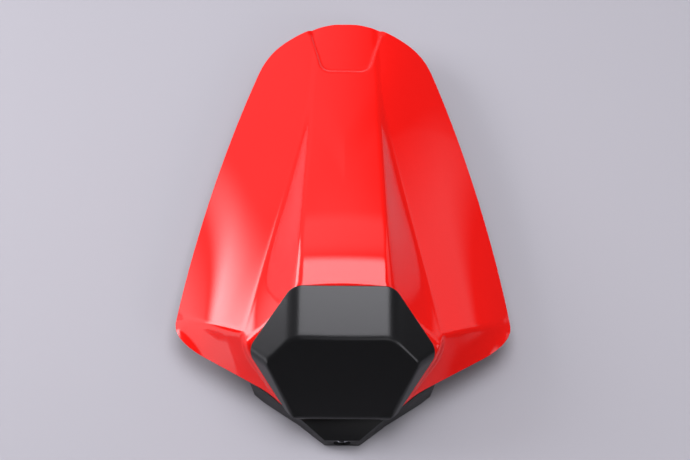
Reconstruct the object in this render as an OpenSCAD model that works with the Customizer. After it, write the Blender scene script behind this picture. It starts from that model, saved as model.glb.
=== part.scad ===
// Seat cowl for a motorbike, in millimetres.
// X runs across, Y runs to the tail, Z is up, and the cowl stands on its bumpers at z = 0.
// The painted shell is one height field over its plan outline: each face of it is a
// function of x and y, and soft minimum and maximum functions join the faces with fillets.

/* [Plan of the shell] */
// Overall length from the tongue's lip to the tail
cowl_length = 349; // [300:1:420]
// Width across the two front corners, before they are rounded
cowl_width = 262; // [222:1:312]
// Width across the two tail corners, before they are rounded
tail_width = 140; // [118:0.5:167]
// Width of the straight edge under the pad
chin_width = 72; // [66:1:86]
// Width where the front edges turn into the chin
cheek_width = 110.6; // [96:0.1:126]
// How far the tongue stands out in front of the chin
tongue_reach = 14; // [11:0.5:17]
// Distance of the front corners behind the chin
corner_in = 61.5; // [52:0.5:73]
// Distance of the cheeks behind the chin
cheek_in = 17; // [14:0.5:20]
// Distance of the tail corners in front of the tail
tail_corner_in = 42; // [36:1:50]
// Nose radius of the tail's curve
tail_nose_r = 70; // [59:1:83]
// How far the tail's curve is cut off straight
tail_cut = 0.5; // [0.4:0.1:0.6]
// How far the long sides bow outwards
side_bow = 5.5; // [4.6:0.1:6.6]

/* [Heights of the shell] */
// Height of the level crown
crown_z = 93; // [80:1:110]
// Distance of the crown's rear end behind the chin
crown_in = 119; // [100:1:140]
// Radius of the back across its width, behind the valleys
back_r = 160; // [134:1:195]
// Radius of the level crown across its width
crown_r = 400; // [330:1:480]
// Height of the rim at the tail
tail_rim_z = 31; // [26:1:36]
// Height of the rim at the tail corners
side_rim_back_z = 29; // [26:1:32]
// Height of the rim at the front corners
side_rim_front_z = 25; // [22:1:28]
// Height of the rim at the chin's ends
chin_rim_z = 21.6; // [20:0.1:24]
// Thickness of the shell's wall
shell_wall = 3; // [2.4:0.1:3.6]

/* [Ridges, wings and skirts] */
// Distance from the tail to the point where the two valleys start
apex_in = 95; // [80:1:112]
// Half width between the valleys where they start
apex_half = 28; // [24:1:33]
// Half width of the crown at the pad
ridge_half = 34.4; // [29:0.1:40]
// Half width between the valleys at their front ends
valley_half = 72; // [62:1:80]
// Distance of the valleys' front ends behind the chin
valley_in = 54; // [46:1:64]
// Height of the valleys' front ends
valley_z = 62; // [54:1:70]
// Outward fall of the wings in degrees
wing_fall = 22; // [18:1:26]
// How deep the flanks of the crown are hollowed
flank_hollow = 1.5; // [1:0.1:1.8]
// Width of the skirt below each wing's shoulder
skirt_w = 25; // [21:1:29]
// Distance behind the chin of the front crease's outer end, at the front corner
crease_in = 78; // [70:1:92]
// Draft of the walls beside the chin in degrees
chin_draft = 10; // [8:0.5:12]
// Width of the seat's edge that shows beside the pad's lower sides
seat_margin = 2; // [1.6:0.1:2.4]
// How far the walls beside the pad stand outside the valleys' ends
wall_out = 2; // [1.6:0.1:2.4]

/* [Tail recess] */
// Length of the shallow recess from the tail
recess_length = 52; // [43:1:62]
// Half width of the recess at its front end
recess_front_half = 18.5; // [15:0.5:22]
// Half width of the recess at the tail
recess_tail_half = 31; // [26:1:36]
// Depth of the recess
recess_depth = 2.4; // [1.9:0.1:2.9]

/* [Fillets] */
// Fillet between crown and flank
ridge_blend = 4; // [3:0.5:6]
// Fillet along the valleys
valley_blend = 3; // [2:0.5:5]
// Fillet along the wings' shoulders
shoulder_blend = 9; // [7:0.5:11]
// Fillet between the back and the wings
back_blend = 6; // [4:0.5:8]
// Fillet along the front creases
crease_blend = 2.2; // [1.8:0.1:2.6]
// Fillet around the seat of the pad
seat_blend = 2.5; // [2:0.1:3.2]
// Bend between the sloping back and the level crown
crown_blend = 7; // [5:0.5:9]
// Rounding of the front corners in plan
corner_blend = 28; // [23:1:33]
// Fillet in plan where the walls beside the pad turn at its widest line
wall_blend = 6; // [5:0.5:7]
// Rounding of the tail corners in plan
tail_blend = 9; // [7:1:11]
// Width of the step around the tail recess
recess_step = 3.5; // [3:0.5:5]
// Rounding of the recess's front corners
recess_corner = 9; // [7:0.5:11]

/* [Pad] */
// Slope of the seat that the pad is stuck on, in degrees
seat_angle = 38.5; // [34:0.5:44]
// Height of the seat's lower edge
seat_low_z = 28; // [26:1:33]
// Length of the pad along its seat
pad_length = 104; // [88:1:122]
// Distance of the pad's widest line from its lower edge
pad_wide_at = 53.5; // [46:0.5:63]
// Width of the pad at its lower edge
pad_low_width = 77; // [65:1:86]
// Greatest width of the pad
pad_width = 141; // [120:1:148]
// Width of the pad at its upper edge
pad_top_width = 74; // [62:1:86]
// Thickness of the pad at its lower edge
pad_low_t = 4; // [3.3:0.1:4.8]
// Slope of the pad's face against its seat, in degrees
pad_face_angle = 11.4; // [9.6:0.1:13.4]
// Distance of the face's upper edge from the pad's lower edge
face_length = 69; // [58:1:81]
// Distance of the face's widest line from the pad's lower edge
face_wide_at = 49; // [41:1:57]
// Width of the face at its lower edge
face_low_width = 74; // [62:1:81]
// Greatest width of the face
face_width = 113; // [96:1:118]
// Width of the face at its upper edge
face_top_width = 74; // [62:1:86]
// Rounding of the pad's corners
pad_corner_r = 14; // [11:0.5:16.5]
// Thickness of the adhesive sheet under the pad
tape_t = 1; // [0.8:0.1:1.2]
// Distance of the sheet's edge inside the pad's edge
tape_inset = 5; // [4:0.5:6]

/* [Base tray] */
// Height of the tray's underside above the ground
ground_gap = 3; // [2.5:0.1:3.6]
// Thickness of the tray's floor and walls
tray_wall = 3; // [2.5:0.1:3.6]
// Gap in plan between the tray and the shell's outline
tray_inset = 14; // [12:1:17]
// Height of the tray's wall at the cheeks
tray_wall_z = 26; // [23:0.5:27]
// Rise of the tray's wall towards the tail, in degrees
tray_rise = 0.3; // [0.2:0.1:0.4]
// Rise of the tray's wall towards the cheeks, in degrees
cheek_rise = 13.5; // [11:0.5:14]
// Width of the tongue's lip
lip_width = 26; // [22:1:30]
// Height of the lip's top edge
lip_z = 15.5; // [14:0.5:18.5]
// Thickness of the lip
lip_t = 7; // [6:0.5:8.4]
// Gap between the tray's wall and the shell's rim beside the chin
chin_gap = 0.6; // [0.5:0.1:0.8]
// Width of the tray's nose at the chin
nose_width = 62.6; // [54:0.2:65]
// Height of the nose's top above the rim at the chin's ends
nose_rise = 2; // [1.6:0.1:2.4]
// Distance of the nose's back edge behind the chin
nose_back = 9; // [8:0.5:11]
// Height of the rib that closes the gap behind the chin
chin_rib_z = 26.8; // [25:0.1:27.4]
// Width of each rear tab
tab_w = 18; // [15:1:21]
// Length of each rear tab
tab_l = 11; // [9:0.5:13]
// Distance of each rear tab from the middle
tab_x = 22; // [18:1:26]
// Thickness of the ribs under the tray
rib_t = 2; // [1.6:0.1:2.4]
// Height of the ribs under the tray
rib_h = 1.6; // [1.3:0.1:1.9]

/* [Fixings] */
// Diameter of the bolt hole in the lip's sleeve
bolt_hole_d = 6.6; // [5.5:0.1:7.8]
// Outer diameter of the sleeve
sleeve_d = 10; // [9:0.1:12]
// Diameter of the recess around the sleeve
lip_recess_d = 13; // [12.5:0.1:13.4]
// Depth of the recess around the sleeve
lip_recess_depth = 1.5; // [1.2:0.1:1.8]
// Height of the bolt hole's axis
bolt_z = 8.5; // [8:0.1:9]
// Diameter of the shell's screw bosses
boss_d = 9; // [7.5:0.5:10.5]
// Diameter of the pilot holes in the bosses
pilot_d = 3.3; // [3.2:0.1:3.9]
// Depth of the pilot holes
pilot_depth = 18; // [15:1:21]
// Diameter of the screws' shanks at the thread's core
screw_core_d = 3.1; // [2.6:0.1:3.15]
// Length of the screws under the head
screw_length = 16; // [13:1:18]
// Diameter of the screws' heads
screw_head_d = 7.6; // [6.4:0.1:9]
// Height of the screws' heads
screw_head_h = 2.4; // [2:0.1:2.8]
// Diameter of the raised pads in the tray that the bosses stand on
land_d = 15; // [13:0.5:17]
// Height of the raised pads above the tray's floor
land_h = 3; // [2.5:0.1:3.5]
// Diameter of the bumpers
bumper_d = 15; // [12.5:0.5:18]
// Diameter of the bumpers' stems
bumper_stem_d = 6; // [5:0.1:7.1]
// Length of the anti-vibration strips beside the tray's middle
strip_length = 90; // [75:1:107]
// Width of the anti-vibration strips
strip_w = 12; // [10:0.5:14]
// Thickness of the anti-vibration strips
strip_t = 2.2; // [1.8:0.1:2.4]

/* [Places under the tray] */
// Distance of the front screws inside the wings' shoulders
front_screw_inset = 8; // [6.5:0.5:9.5]
// Distance of the front screws behind the front corners
front_screw_in = 30; // [25:1:36]
// Distance of the middle screws inside the wings' shoulders
middle_screw_inset = 28; // [23:1:33]
// Distance of the middle screws behind the front corners
middle_screw_in = 96; // [86:1:112]
// Distance of the rear screws inside the tail corners
rear_screw_inset = 13; // [11:1:16]
// Distance of the rear screws in front of the valleys' start
rear_screw_in = 15; // [12:1:18]
// Distance of the tail screws outside the valleys' start
tail_screw_out = 2; // [1.6:0.1:2.4]
// Distance of the tail screws in front of the tail corners
tail_screw_in = 2; // [1.6:0.1:2.4]
// Distance of the front bumpers inside the wings' shoulders
front_bumper_inset = 16; // [13:1:19]
// Distance of the front bumpers behind the front corners
front_bumper_in = 12; // [10:1:14]
// Distance of the rear bumpers outside the valleys' start
rear_bumper_out = 20; // [18:1:24]
// Distance of the rear bumpers in front of the tail corners
rear_bumper_in = 24; // [20:1:28]
// Distance of the ribs under the tray from the middle
rib_x = 36; // [30:1:38]
// Gap between the ribs and the anti-vibration strips
strip_gap = 18; // [15:1:21]
// Gap between the rear strip and the tail corners
rear_strip_gap = 6; // [5:0.5:7]

/* [Hidden] */
$fn = 32;

// Places along Y
tail_y = cowl_length / 2;
tongue_y = -cowl_length / 2;
chin_y = tongue_y + tongue_reach;
corner_y = chin_y + corner_in;
cheek_y = chin_y + cheek_in;
tail_corner_y = tail_y - tail_corner_in;
crown_y = chin_y + crown_in;
apex_y = tail_y - apex_in;
valley_y = chin_y + valley_in;

// Slopes
side_slope = (cowl_width - tail_width) / 2 / (tail_corner_y - corner_y);
front_slope = (cowl_width - cheek_width) / 2 / (corner_y - cheek_y);
chin_slope = (cheek_width - chin_width) / 2 / (cheek_y - chin_y);
back_slope = (crown_z - tail_rim_z) / (tail_y - crown_y);
seat_slope = tan(seat_angle);
fall_slope = tan(wing_fall);
draft_slope = 1 / tan(chin_draft);
ridge_slope = (ridge_half - apex_half) / (apex_y - chin_y - pad_length * cos(seat_angle));
valley_slope = (valley_half - apex_half) / (apex_y - valley_y);
crease_slope = (crease_in - valley_in) / (cowl_width / 2 - valley_half);
rim_slope = (chin_rim_z + seat_slope * cheek_in - side_rim_front_z) / (cowl_width / 2 - cheek_width / 2);
flange_slope = (pad_width - pad_low_width) / 2 / pad_wide_at / cos(seat_angle);

// Mesh of the shell: rows along Y, then cells from the middle to the ridge, the valley,
// the shoulder and the rim
row_count = 62;
cell_counts = [5, 4, 5, 6];
row_crowding = 0.14;
row_start = 0.03;
ridge_share = 0.7;
flank_share = 0.15;
valley_share = 0.93;
skirt_share = 0.4;
bow_reach = 110;
valley_start = 2;
hollow_run = 80;

// Soft minimum and maximum: two faces meet in a fillet where they are within k of each other
function soft_min(a, b, k) = let(h = max(k - abs(a - b), 0) / k) min(a, b) - h * h * k / 4;
function soft_max(a, b, k) = -soft_min(-a, -b, k);
// A smooth step from 0 to 1 around zero, over the given width
function step_at(t, width) = let(u = min(max(t / width + 0.5, 0), 1)) u * u * (3 - 2 * u);
// How far a face with these slopes drops when it is moved inwards by d
function drop(d, slope_x, slope_y) = d * sqrt(1 + slope_x * slope_x + slope_y * slope_y);

// Half width of the plan outline at y, moved inwards by d
function side_half(y) = cowl_width / 2 + side_slope * (corner_y - y)
    + side_bow * (1 - pow((y - (corner_y + tail_corner_y) / 2) / bow_reach, 2));
function chin_half(y) = chin_width / 2 + chin_slope * (y - chin_y);
// Foot of the walls beside the pad, which leaves the outline at the cheeks
function wall_half(y) =
    let(beside_pad = pad_low_width / 2 + seat_margin + flange_slope * (y - chin_y))
    soft_min(min(chin_half(y), beside_pad), valley_half + wall_out, wall_blend);
function front_half(y) =
    soft_max(cowl_width / 2 + front_slope * (y - corner_y), chin_half(y), valley_blend);
function tail_half(y, d) = sqrt(max(2 * tail_nose_r * (tail_y + tail_cut - d - y), 0));
function half_width(y, d = 0) =
    let(side = side_half(y) - d)
    let(front = front_half(y) - drop(d, front_slope, 0))
    let(body = soft_min(side, front, corner_blend))
    let(tail = tail_half(y, d))
    min(soft_min(body, tail, tail_blend), tail);

// Plan lines on the shell
recess_y = tail_y - recess_length;
function recess_half(y) =
    recess_front_half + (recess_tail_half - recess_front_half) * (y - recess_y) / recess_length;
function ridge_x(y) = apex_half + ridge_slope * (apex_y - y);
function valley_x(y) = apex_half + valley_slope * (apex_y - y);
function crease_y(s) = valley_y + (s - valley_half) * crease_slope;
function front_edge_y(s) = corner_y + (s - cowl_width / 2) / front_slope;

// Faces of the shell, each moved inwards by d; s is the distance from the middle plane
function back_bend(y) =
    let(share = min(max((apex_y - y) / (apex_y - crown_y), 0), 1))
    1 / back_r + (1 / crown_r - 1 / back_r) * share;
function back_z(s, y, d) =
    let(bend = back_bend(y))
    soft_min(tail_rim_z + back_slope * (tail_y - y), crown_z, crown_blend)
    - s * s * bend / 2 - drop(d, s * bend, back_slope / 2);
apex_z = back_z(apex_half, apex_y, 0);
wing_rise = (valley_z - apex_z + fall_slope * (valley_half - apex_half)) / (apex_y - valley_y);
function wing_z(s, y, d) =
    apex_z + wing_rise * (apex_y - y) - fall_slope * (s - apex_half) - drop(d, fall_slope, wing_rise);
function flank_z(s, y, d) =
    let(yy = min(y, apex_y - valley_start))
    let(run = valley_x(yy) - ridge_x(yy))
    let(steep = (back_z(ridge_x(yy), yy, 0) - wing_z(valley_x(yy), yy, 0)) / run)
    let(u = min(max((s - ridge_x(y)) / max(valley_x(y) - ridge_x(y), 1), 0), 1))
    back_z(ridge_x(y), y, 0) - steep * (s - ridge_x(y)) - drop(d, steep, 0)
    - flank_hollow * sin(180 * u) * min(max((apex_y - y) / hollow_run, 0), 1);
function side_rim_z(y) =
    let(u = min(max((y - corner_y) / (tail_corner_y - corner_y), 0), 1))
    side_rim_front_z + (side_rim_back_z - side_rim_front_z) * u;
function skirt_z(s, y, d) =
    let(half = side_half(y))
    let(steep = (wing_z(half - skirt_w, y, 0) - side_rim_z(y)) / skirt_w)
    side_rim_z(y) + steep * (half - s) - drop(d, steep, 0);
function front_rim_z(s) = side_rim_front_z + (cowl_width / 2 - s) * rim_slope;
function facet_z(s, y, d) =
    let(top_y = crease_y(s))
    let(low_y = front_edge_y(s))
    let(top_z = soft_min(wing_z(s, top_y, 0), skirt_z(s, top_y, 0), shoulder_blend))
    let(steep = (top_z - front_rim_z(s)) / (top_y - low_y))
    front_rim_z(s) + steep * (y - low_y) - drop(d, steep / front_slope, steep);
function cheek_z(s, y, d) =
    chin_rim_z + seat_slope * (y - chin_y) + draft_slope * (wall_half(y) - s)
    - drop(d, draft_slope, seat_slope + draft_slope * flange_slope);
function seat_z(y, d) = seat_low_z + seat_slope * (y - chin_y) - drop(d, 0, seat_slope);
function recess_z(s, y) =
    recess_depth * step_at(soft_min(recess_half(y) - s, y - recess_y, recess_corner), recess_step);

// Height of the shell's surface at x, y, moved inwards by d
function shell_z(x, y, d = 0) =
    let(s = abs(x))
    let(slopes = soft_min(back_z(s, y, d), wing_z(s, y, d), back_blend))
    let(wing = soft_min(soft_min(slopes, skirt_z(s, y, d), shoulder_blend), facet_z(s, y, d), crease_blend))
    let(crown = soft_min(back_z(s, y, d), flank_z(s, y, d), ridge_blend))
    let(hump = soft_min(crown, cheek_z(s, y, d), ridge_blend))
    soft_min(soft_max(wing, hump, valley_blend), seat_z(y, d), seat_blend) - recess_z(s, y);

// Stations across one half row, in plan: middle, ridge or recess, valley, shoulder, rim
function inner_line(y) =
    y < apex_y ? ridge_x(y)
    : y > recess_y ? recess_half(y)
    : apex_half + (recess_front_half - apex_half) * (y - apex_y) / (recess_y - apex_y);
function stations(y, half) =
    let(ridge = min(inner_line(y), ridge_share * half))
    let(foot = min(valley_x(y), wall_half(y)))
    let(valley = min(max(foot, ridge + flank_share * (half - ridge)), valley_share * half))
    let(shoulder = max(half - skirt_w, valley + skirt_share * (half - valley)))
    [0, ridge, valley, shoulder, half];
// Plan positions from the middle out to the rim
function half_row(y, half) =
    let(st = stations(y, half))
    [for (k = [0 : 3]) for (i = [0 : cell_counts[k] - 1])
        st[k] + (st[k + 1] - st[k]) * i / cell_counts[k], half];
function full_row(y, half) =
    let(row = half_row(y, half))
    let(n = len(row) - 1)
    [for (i = [-n : n]) i < 0 ? -row[-i] : row[i]];
// Row positions crowd together at the tail, where the outline closes
function row_y(j, d) =
    let(v = (row_count - j) / row_count)
    let(share = v * (v + row_start) / (v + row_crowding) * (1 + row_crowding) / (1 + row_start))
    tail_y - d - (tail_y - chin_y - 2 * d) * share;
function skin_points(inset, d) = [
    for (j = [0 : row_count])
        let(y = j == 0 ? chin_y + inset : row_y(j, inset))
        for (x = full_row(y, half_width(y, inset))) [x, y, shell_z(x, y, d)]
];

module shell_skin() {
    cols = 2 * (cell_counts[0] + cell_counts[1] + cell_counts[2] + cell_counts[3]) + 1;
    outer = skin_points(0, 0);
    inner = skin_points(shell_wall, shell_wall);
    size = len(outer);
    top = [for (j = [0 : row_count - 1]) for (i = [0 : cols - 2]) let(a = j * cols + i)
        each [[a, a + cols, a + cols + 1], [a, a + cols + 1, a + 1]]];
    bottom = [for (j = [0 : row_count - 1]) for (i = [0 : cols - 2]) let(a = size + j * cols + i)
        each [[a, a + cols + 1, a + cols], [a, a + 1, a + cols + 1]]];
    loop = concat(
        [for (i = [0 : cols - 2]) i],
        [for (j = [0 : row_count - 1]) j * cols + cols - 1],
        [for (i = [cols - 1 : -1 : 1]) row_count * cols + i],
        [for (j = [row_count : -1 : 1]) j * cols]
    );
    rim = [for (k = [0 : len(loop) - 1]) let(a = loop[k], b = loop[(k + 1) % len(loop)])
        each [[a, b, size + b], [a, size + b, size + a]]];
    polyhedron(points = concat(outer, inner), faces = concat(top, bottom, rim));
}

// Screws and bosses, in pairs from the front to the tail, then the bumpers
shoulder_x = cowl_width / 2 - skirt_w;
screw_places = [
    [shoulder_x - front_screw_inset, corner_y + front_screw_in],
    [shoulder_x - middle_screw_inset, corner_y + middle_screw_in],
    [tail_width / 2 - rear_screw_inset, apex_y - rear_screw_in],
    [apex_half + tail_screw_out, tail_corner_y - tail_screw_in]
];
bumper_places = [
    [shoulder_x - front_bumper_inset, corner_y + front_bumper_in],
    [apex_half + rear_bumper_out, tail_corner_y - rear_bumper_in]
];
screw_seat_z = ground_gap + tray_wall;
land_z = screw_seat_z + land_h;
// How far a cut reaches past a solid, and a solid into the next one of the same piece
lap = 1;
// Clearance of the screws and of the bumpers' stems in their holes, and of the sleeve
screw_fit = 0.6;
stem_fit = 0.3;
sleeve_fit = 0.05;

function pair_xy(places, k) =
    let(p = places[floor((k - 1) / 2)])
    [(k % 2 == 1 ? -1 : 1) * p[0], p[1]];
function screw_xy(k) = pair_xy(screw_places, k);
function bumper_xy(k) = pair_xy(bumper_places, k);

// A boss ends in the middle of the shell's wall, cut along the wall's own slope
module boss(xy) {
    probe = 1;
    reach = 3 * boss_d;
    mid = shell_wall / 2;
    top_z = shell_z(xy[0], xy[1], mid);
    slope_x = (shell_z(xy[0] + probe, xy[1], mid) - shell_z(xy[0] - probe, xy[1], mid)) / (2 * probe);
    slope_y = (shell_z(xy[0], xy[1] + probe, mid) - shell_z(xy[0], xy[1] - probe, mid)) / (2 * probe);
    steep = sqrt(slope_x * slope_x + slope_y * slope_y);
    difference() {
        translate([xy[0], xy[1], land_z]) cylinder(h = top_z + boss_d - land_z, d = boss_d);
        translate([xy[0], xy[1], top_z]) rotate(a = atan(steep), v = [slope_y, -slope_x, 0])
            translate([-reach, -reach, 0]) cube([2 * reach, 2 * reach, 2 * reach]);
        translate([xy[0], xy[1], land_z - lap]) cylinder(h = pilot_depth + lap, d = pilot_d);
    }
}

module cowl_shell() {
    color([0.86, 0.02, 0.02]) union() {
        shell_skin();
        for (k = [1 : 8]) boss(screw_xy(k));
    }
}

// Tray outline: the shell's outline moved inwards, and level with it from the chin to the
// cheeks, where the foot's corners are given in steps outside and behind each cheek
cheek_step = 4;
foot_steps = [[1.2, 0.5], [3, 2], [4, 4.5], [4.5, 8]];
tray_low_y = cheek_y + 8 * cheek_step;
corner_step = 20;
tray_tail_y = tail_y - tray_inset - tray_wall;
tray_half_points = [
    [nose_width / 2, chin_y],
    for (p = foot_steps) [cheek_width / 2, cheek_y] + cheek_step * p,
    [cowl_width / 2 - tray_inset - 2 * cheek_step, corner_y + 2 * cheek_step],
    [side_half(corner_y + corner_step) - tray_inset, corner_y + corner_step],
    [side_half(0) - tray_inset, 0],
    [side_half(tail_corner_y - corner_step) - tray_inset, tail_corner_y - corner_step],
    [half_width(tail_corner_y + cheek_step) - tray_inset, tail_corner_y + cheek_step],
    [half_width(tray_tail_y + tray_wall) - cheek_step, tray_tail_y]
];
function nose_half_points(back) = [
    [lip_width / 2, tongue_y],
    [nose_width / 2, chin_y],
    [nose_width / 2, chin_y + back]
];
function mirrored(points) =
    concat(points, [for (i = [len(points) - 1 : -1 : 0]) [-points[i][0], points[i][1]]]);
function unit(v) = v / norm(v);
// A closed anticlockwise outline moved inwards by d
function moved_in(points, d) = let(n = len(points)) [
    for (i = [0 : n - 1])
        let(p = points[i])
        let(u = unit(p - points[(i + n - 1) % n]))
        let(w = unit(points[(i + 1) % n] - p))
        let(m = [-u[1] - w[1], u[0] + w[0]])
        p + m * d / (1 + u[0] * w[0] + u[1] * w[1])
];
tray_points = mirrored(tray_half_points);
nose_points = mirrored(nose_half_points(nose_back));
// The nose is open at its back, so its hollow reaches past the back edge
nose_hollow = moved_in(mirrored(nose_half_points(nose_back + tray_wall + lap)), tray_wall);
nose_z = ground_gap - rib_h;
nose_top_z = chin_rim_z + nose_rise;
nose_angle = atan((nose_top_z - lip_z) / tongue_reach);

// Everything above a plane that tilts about X, through the point y, z
module above(y, z, angle) {
    big = cowl_length + cowl_width;
    translate([0, y, z]) rotate([angle, 0, 0]) translate([-big, -big, 0]) cube([2 * big, 2 * big, big]);
}

// The tray's wall is lowest behind the cheeks, rises to the cheeks and to the tail, and
// falls from the cheeks to the chin along the shell's rim
module tray_solid(points, z0, lift) {
    difference() {
        translate([0, 0, z0]) linear_extrude(height = crown_z) polygon(points);
        intersection() {
            above(tray_low_y, tray_wall_z + lift, tray_rise);
            above(tray_low_y, tray_wall_z + lift, -cheek_rise);
        }
        above(chin_y, chin_rim_z - chin_gap + lift, seat_angle);
    }
}

// The nose rises from the lip to the chin, and is level behind it; its faces move in by d
module nose_solid(points, z0, d) {
    difference() {
        translate([0, 0, z0]) linear_extrude(height = nose_top_z - d - z0) polygon(points);
        above(tongue_y, lip_z - d / cos(nose_angle), nose_angle);
    }
}

module tray_shell() {
    difference() {
        union() {
            difference() {
                tray_solid(tray_points, ground_gap, 0);
                tray_solid(moved_in(tray_points, tray_wall), screw_seat_z, lap);
            }
            nose_solid(nose_points, nose_z, 0);
        }
        nose_solid(nose_hollow, screw_seat_z, tray_wall);
    }
}

// The solid block behind the lip, the rib behind the chin and the two tabs at the tail
module tray_blocks() {
    rib_half = nose_width / 2 - tray_wall;
    translate([-lip_width / 2, tongue_y + lap, ground_gap])
        cube([lip_width, lip_t - lap, lip_z - ground_gap]);
    translate([-rib_half, chin_y + cheek_step, ground_gap + lap])
        cube([2 * rib_half, tray_wall, chin_rib_z - ground_gap - lap]);
    for (side = [-1, 1]) translate([side * tab_x - tab_w / 2, tray_tail_y - lap, ground_gap])
        cube([tab_w, tab_l, 1.5 * tray_wall]);
}

// Ribs under the tray's floor: three along it and three across
module ribs() {
    front_y = corner_y + front_bumper_in;
    back_y = tail_corner_y - rear_bumper_in;
    for (x = [-rib_x, 0, rib_x]) translate([x - rib_t / 2, front_y, ground_gap - rib_h])
        cube([rib_t, back_y - front_y, rib_h + lap]);
    for (y = [corner_y + front_screw_in, 0, apex_y]) translate([-rib_x, y - rib_t / 2, ground_gap - rib_h])
        cube([2 * rib_x, rib_t, rib_h + lap]);
}

// A bore along Y into the lip, from in front of it to the given depth
module lip_bore(depth, d) {
    translate([0, tongue_y - lap, bolt_z]) rotate([-90, 0, 0]) cylinder(h = depth + lap, d = d);
}

module base_tray() {
    color([0.05, 0.05, 0.055]) difference() {
        union() {
            tray_shell();
            tray_blocks();
            ribs();
            for (k = [1 : 8]) translate([screw_xy(k)[0], screw_xy(k)[1], ground_gap + lap])
                cylinder(h = land_z - ground_gap - lap, d = land_d);
        }
        for (k = [1 : 8]) translate([screw_xy(k)[0], screw_xy(k)[1], 0]) {
            cylinder(h = screw_seat_z, d = screw_head_d + 2 * screw_fit);
            cylinder(h = land_z + lap, d = screw_core_d + 2 * screw_fit);
        }
        for (k = [1 : 4]) translate([bumper_xy(k)[0], bumper_xy(k)[1], 0])
            cylinder(h = land_z, d = bumper_stem_d + 2 * stem_fit);
        lip_bore(lip_t + lap, sleeve_d);
        lip_bore(lip_recess_depth, lip_recess_d);
    }
}

module lip_sleeve() {
    wall_l = lip_t - lip_recess_depth;
    color([0.75, 0.75, 0.77]) translate([0, tongue_y + lip_recess_depth, bolt_z]) rotate([-90, 0, 0])
        difference() {
            cylinder(h = wall_l, d = sleeve_d - 2 * sleeve_fit);
            translate([0, 0, -lap]) cylinder(h = wall_l + 2 * lap, d = bolt_hole_d);
        }
}

// Moves its children onto the seat: X across, Y up the slope from the lower edge, Z away from it
module on_seat(lift) {
    translate([0, chin_y, seat_low_z]) rotate([seat_angle, 0, 0]) translate([0, 0, lift]) children();
}

module six_sided(low, wide, top, wide_at, length, r) {
    points = [[low, 0], [wide, wide_at], [top, length], [-top, length], [-wide, wide_at], [-low, 0]];
    offset(r = r) offset(delta = -r) polygon([for (p = points) [p[0] / 2, p[1]]]);
}

module backrest_pad() {
    skin = 1.2;
    stretch = 1 / cos(pad_face_angle);
    color([0.09, 0.09, 0.095]) on_seat(tape_t) hull() {
        linear_extrude(height = skin)
            six_sided(pad_low_width, pad_width, pad_top_width, pad_wide_at, pad_length, pad_corner_r);
        translate([0, 0, pad_low_t]) rotate([pad_face_angle, 0, 0]) translate([0, 0, -skin])
            linear_extrude(height = skin)
            six_sided(face_low_width, face_width, face_top_width, face_wide_at * stretch,
                face_length * stretch, pad_corner_r);
    }
}

module pad_adhesive() {
    color([0.9, 0.9, 0.88]) on_seat(0) linear_extrude(height = tape_t) offset(delta = -tape_inset)
        six_sided(pad_low_width, pad_width, pad_top_width, pad_wide_at, pad_length, pad_corner_r);
}

module tray_screw(k) {
    slot_w = 1;
    tip_d = 1;
    slot_l = screw_head_d / 2;
    color([0.7, 0.7, 0.72]) translate([screw_xy(k)[0], screw_xy(k)[1], screw_seat_z]) difference() {
        union() {
            translate([0, 0, -screw_head_h]) cylinder(h = screw_head_h, d = screw_head_d);
            cylinder(h = screw_length - screw_core_d, d = screw_core_d);
            translate([0, 0, screw_length - screw_core_d])
                cylinder(h = screw_core_d, d1 = screw_core_d, d2 = tip_d);
        }
        for (turn = [0, 90]) rotate([0, 0, turn]) translate([-slot_l / 2, -slot_w / 2, -screw_head_h - lap])
            cube([slot_l, slot_w, lap + screw_head_h / 2]);
    }
}

module bumper(k) {
    barb_h = 2;
    barb_out = 1;
    color([0.1, 0.1, 0.1]) translate([bumper_xy(k)[0], bumper_xy(k)[1], 0]) {
        cylinder(h = ground_gap, d = bumper_d);
        cylinder(h = screw_seat_z + barb_h, d = bumper_stem_d);
        translate([0, 0, screw_seat_z])
            cylinder(h = barb_h, d1 = bumper_stem_d + 2 * barb_out, d2 = bumper_stem_d - 2 * barb_out);
    }
}

// Strips under the tray's floor, beside the ribs and at the tail
strip_x = rib_x + strip_gap + strip_w / 2;
strip_mid_y = (corner_y + tail_corner_y - rear_bumper_in) / 2 - strip_w / 2;
rear_strip_y = tail_corner_y - rear_strip_gap;
module foam_strip(centre, size) {
    color([0.2, 0.2, 0.21]) translate([centre[0] - size[0] / 2, centre[1] - size[1] / 2, ground_gap - strip_t])
        cube([size[0], size[1], strip_t]);
}

cowl_shell();
base_tray();
backrest_pad();
pad_adhesive();
lip_sleeve();
tray_screw(1);  // tray_screw_1
tray_screw(2);  // tray_screw_2
tray_screw(3);  // tray_screw_3
tray_screw(4);  // tray_screw_4
tray_screw(5);  // tray_screw_5
tray_screw(6);  // tray_screw_6
tray_screw(7);  // tray_screw_7
tray_screw(8);  // tray_screw_8
bumper(1);  // bumper_1
bumper(2);  // bumper_2
bumper(3);  // bumper_3
bumper(4);  // bumper_4
foam_strip([-strip_x, strip_mid_y], [strip_w, strip_length]);  // foam_strip_left
foam_strip([strip_x, strip_mid_y], [strip_w, strip_length]);  // foam_strip_right
foam_strip([0, rear_strip_y], [strip_length / 2, strip_w]);  // foam_strip_rear
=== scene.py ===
"""Looks, camera and light for a motorbike seat cowl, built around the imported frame.

Sizes are in millimetres inside the classes and become metres when a mesh is made.
X runs across, Y runs to the tail and Z is up, as in the frame.
"""

import logging
import math
from dataclasses import dataclass
from enum import Enum
from typing import Any, Mapping, Sequence

import bmesh
import bpy
import numpy as np
from mathutils import Matrix, Vector


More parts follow.
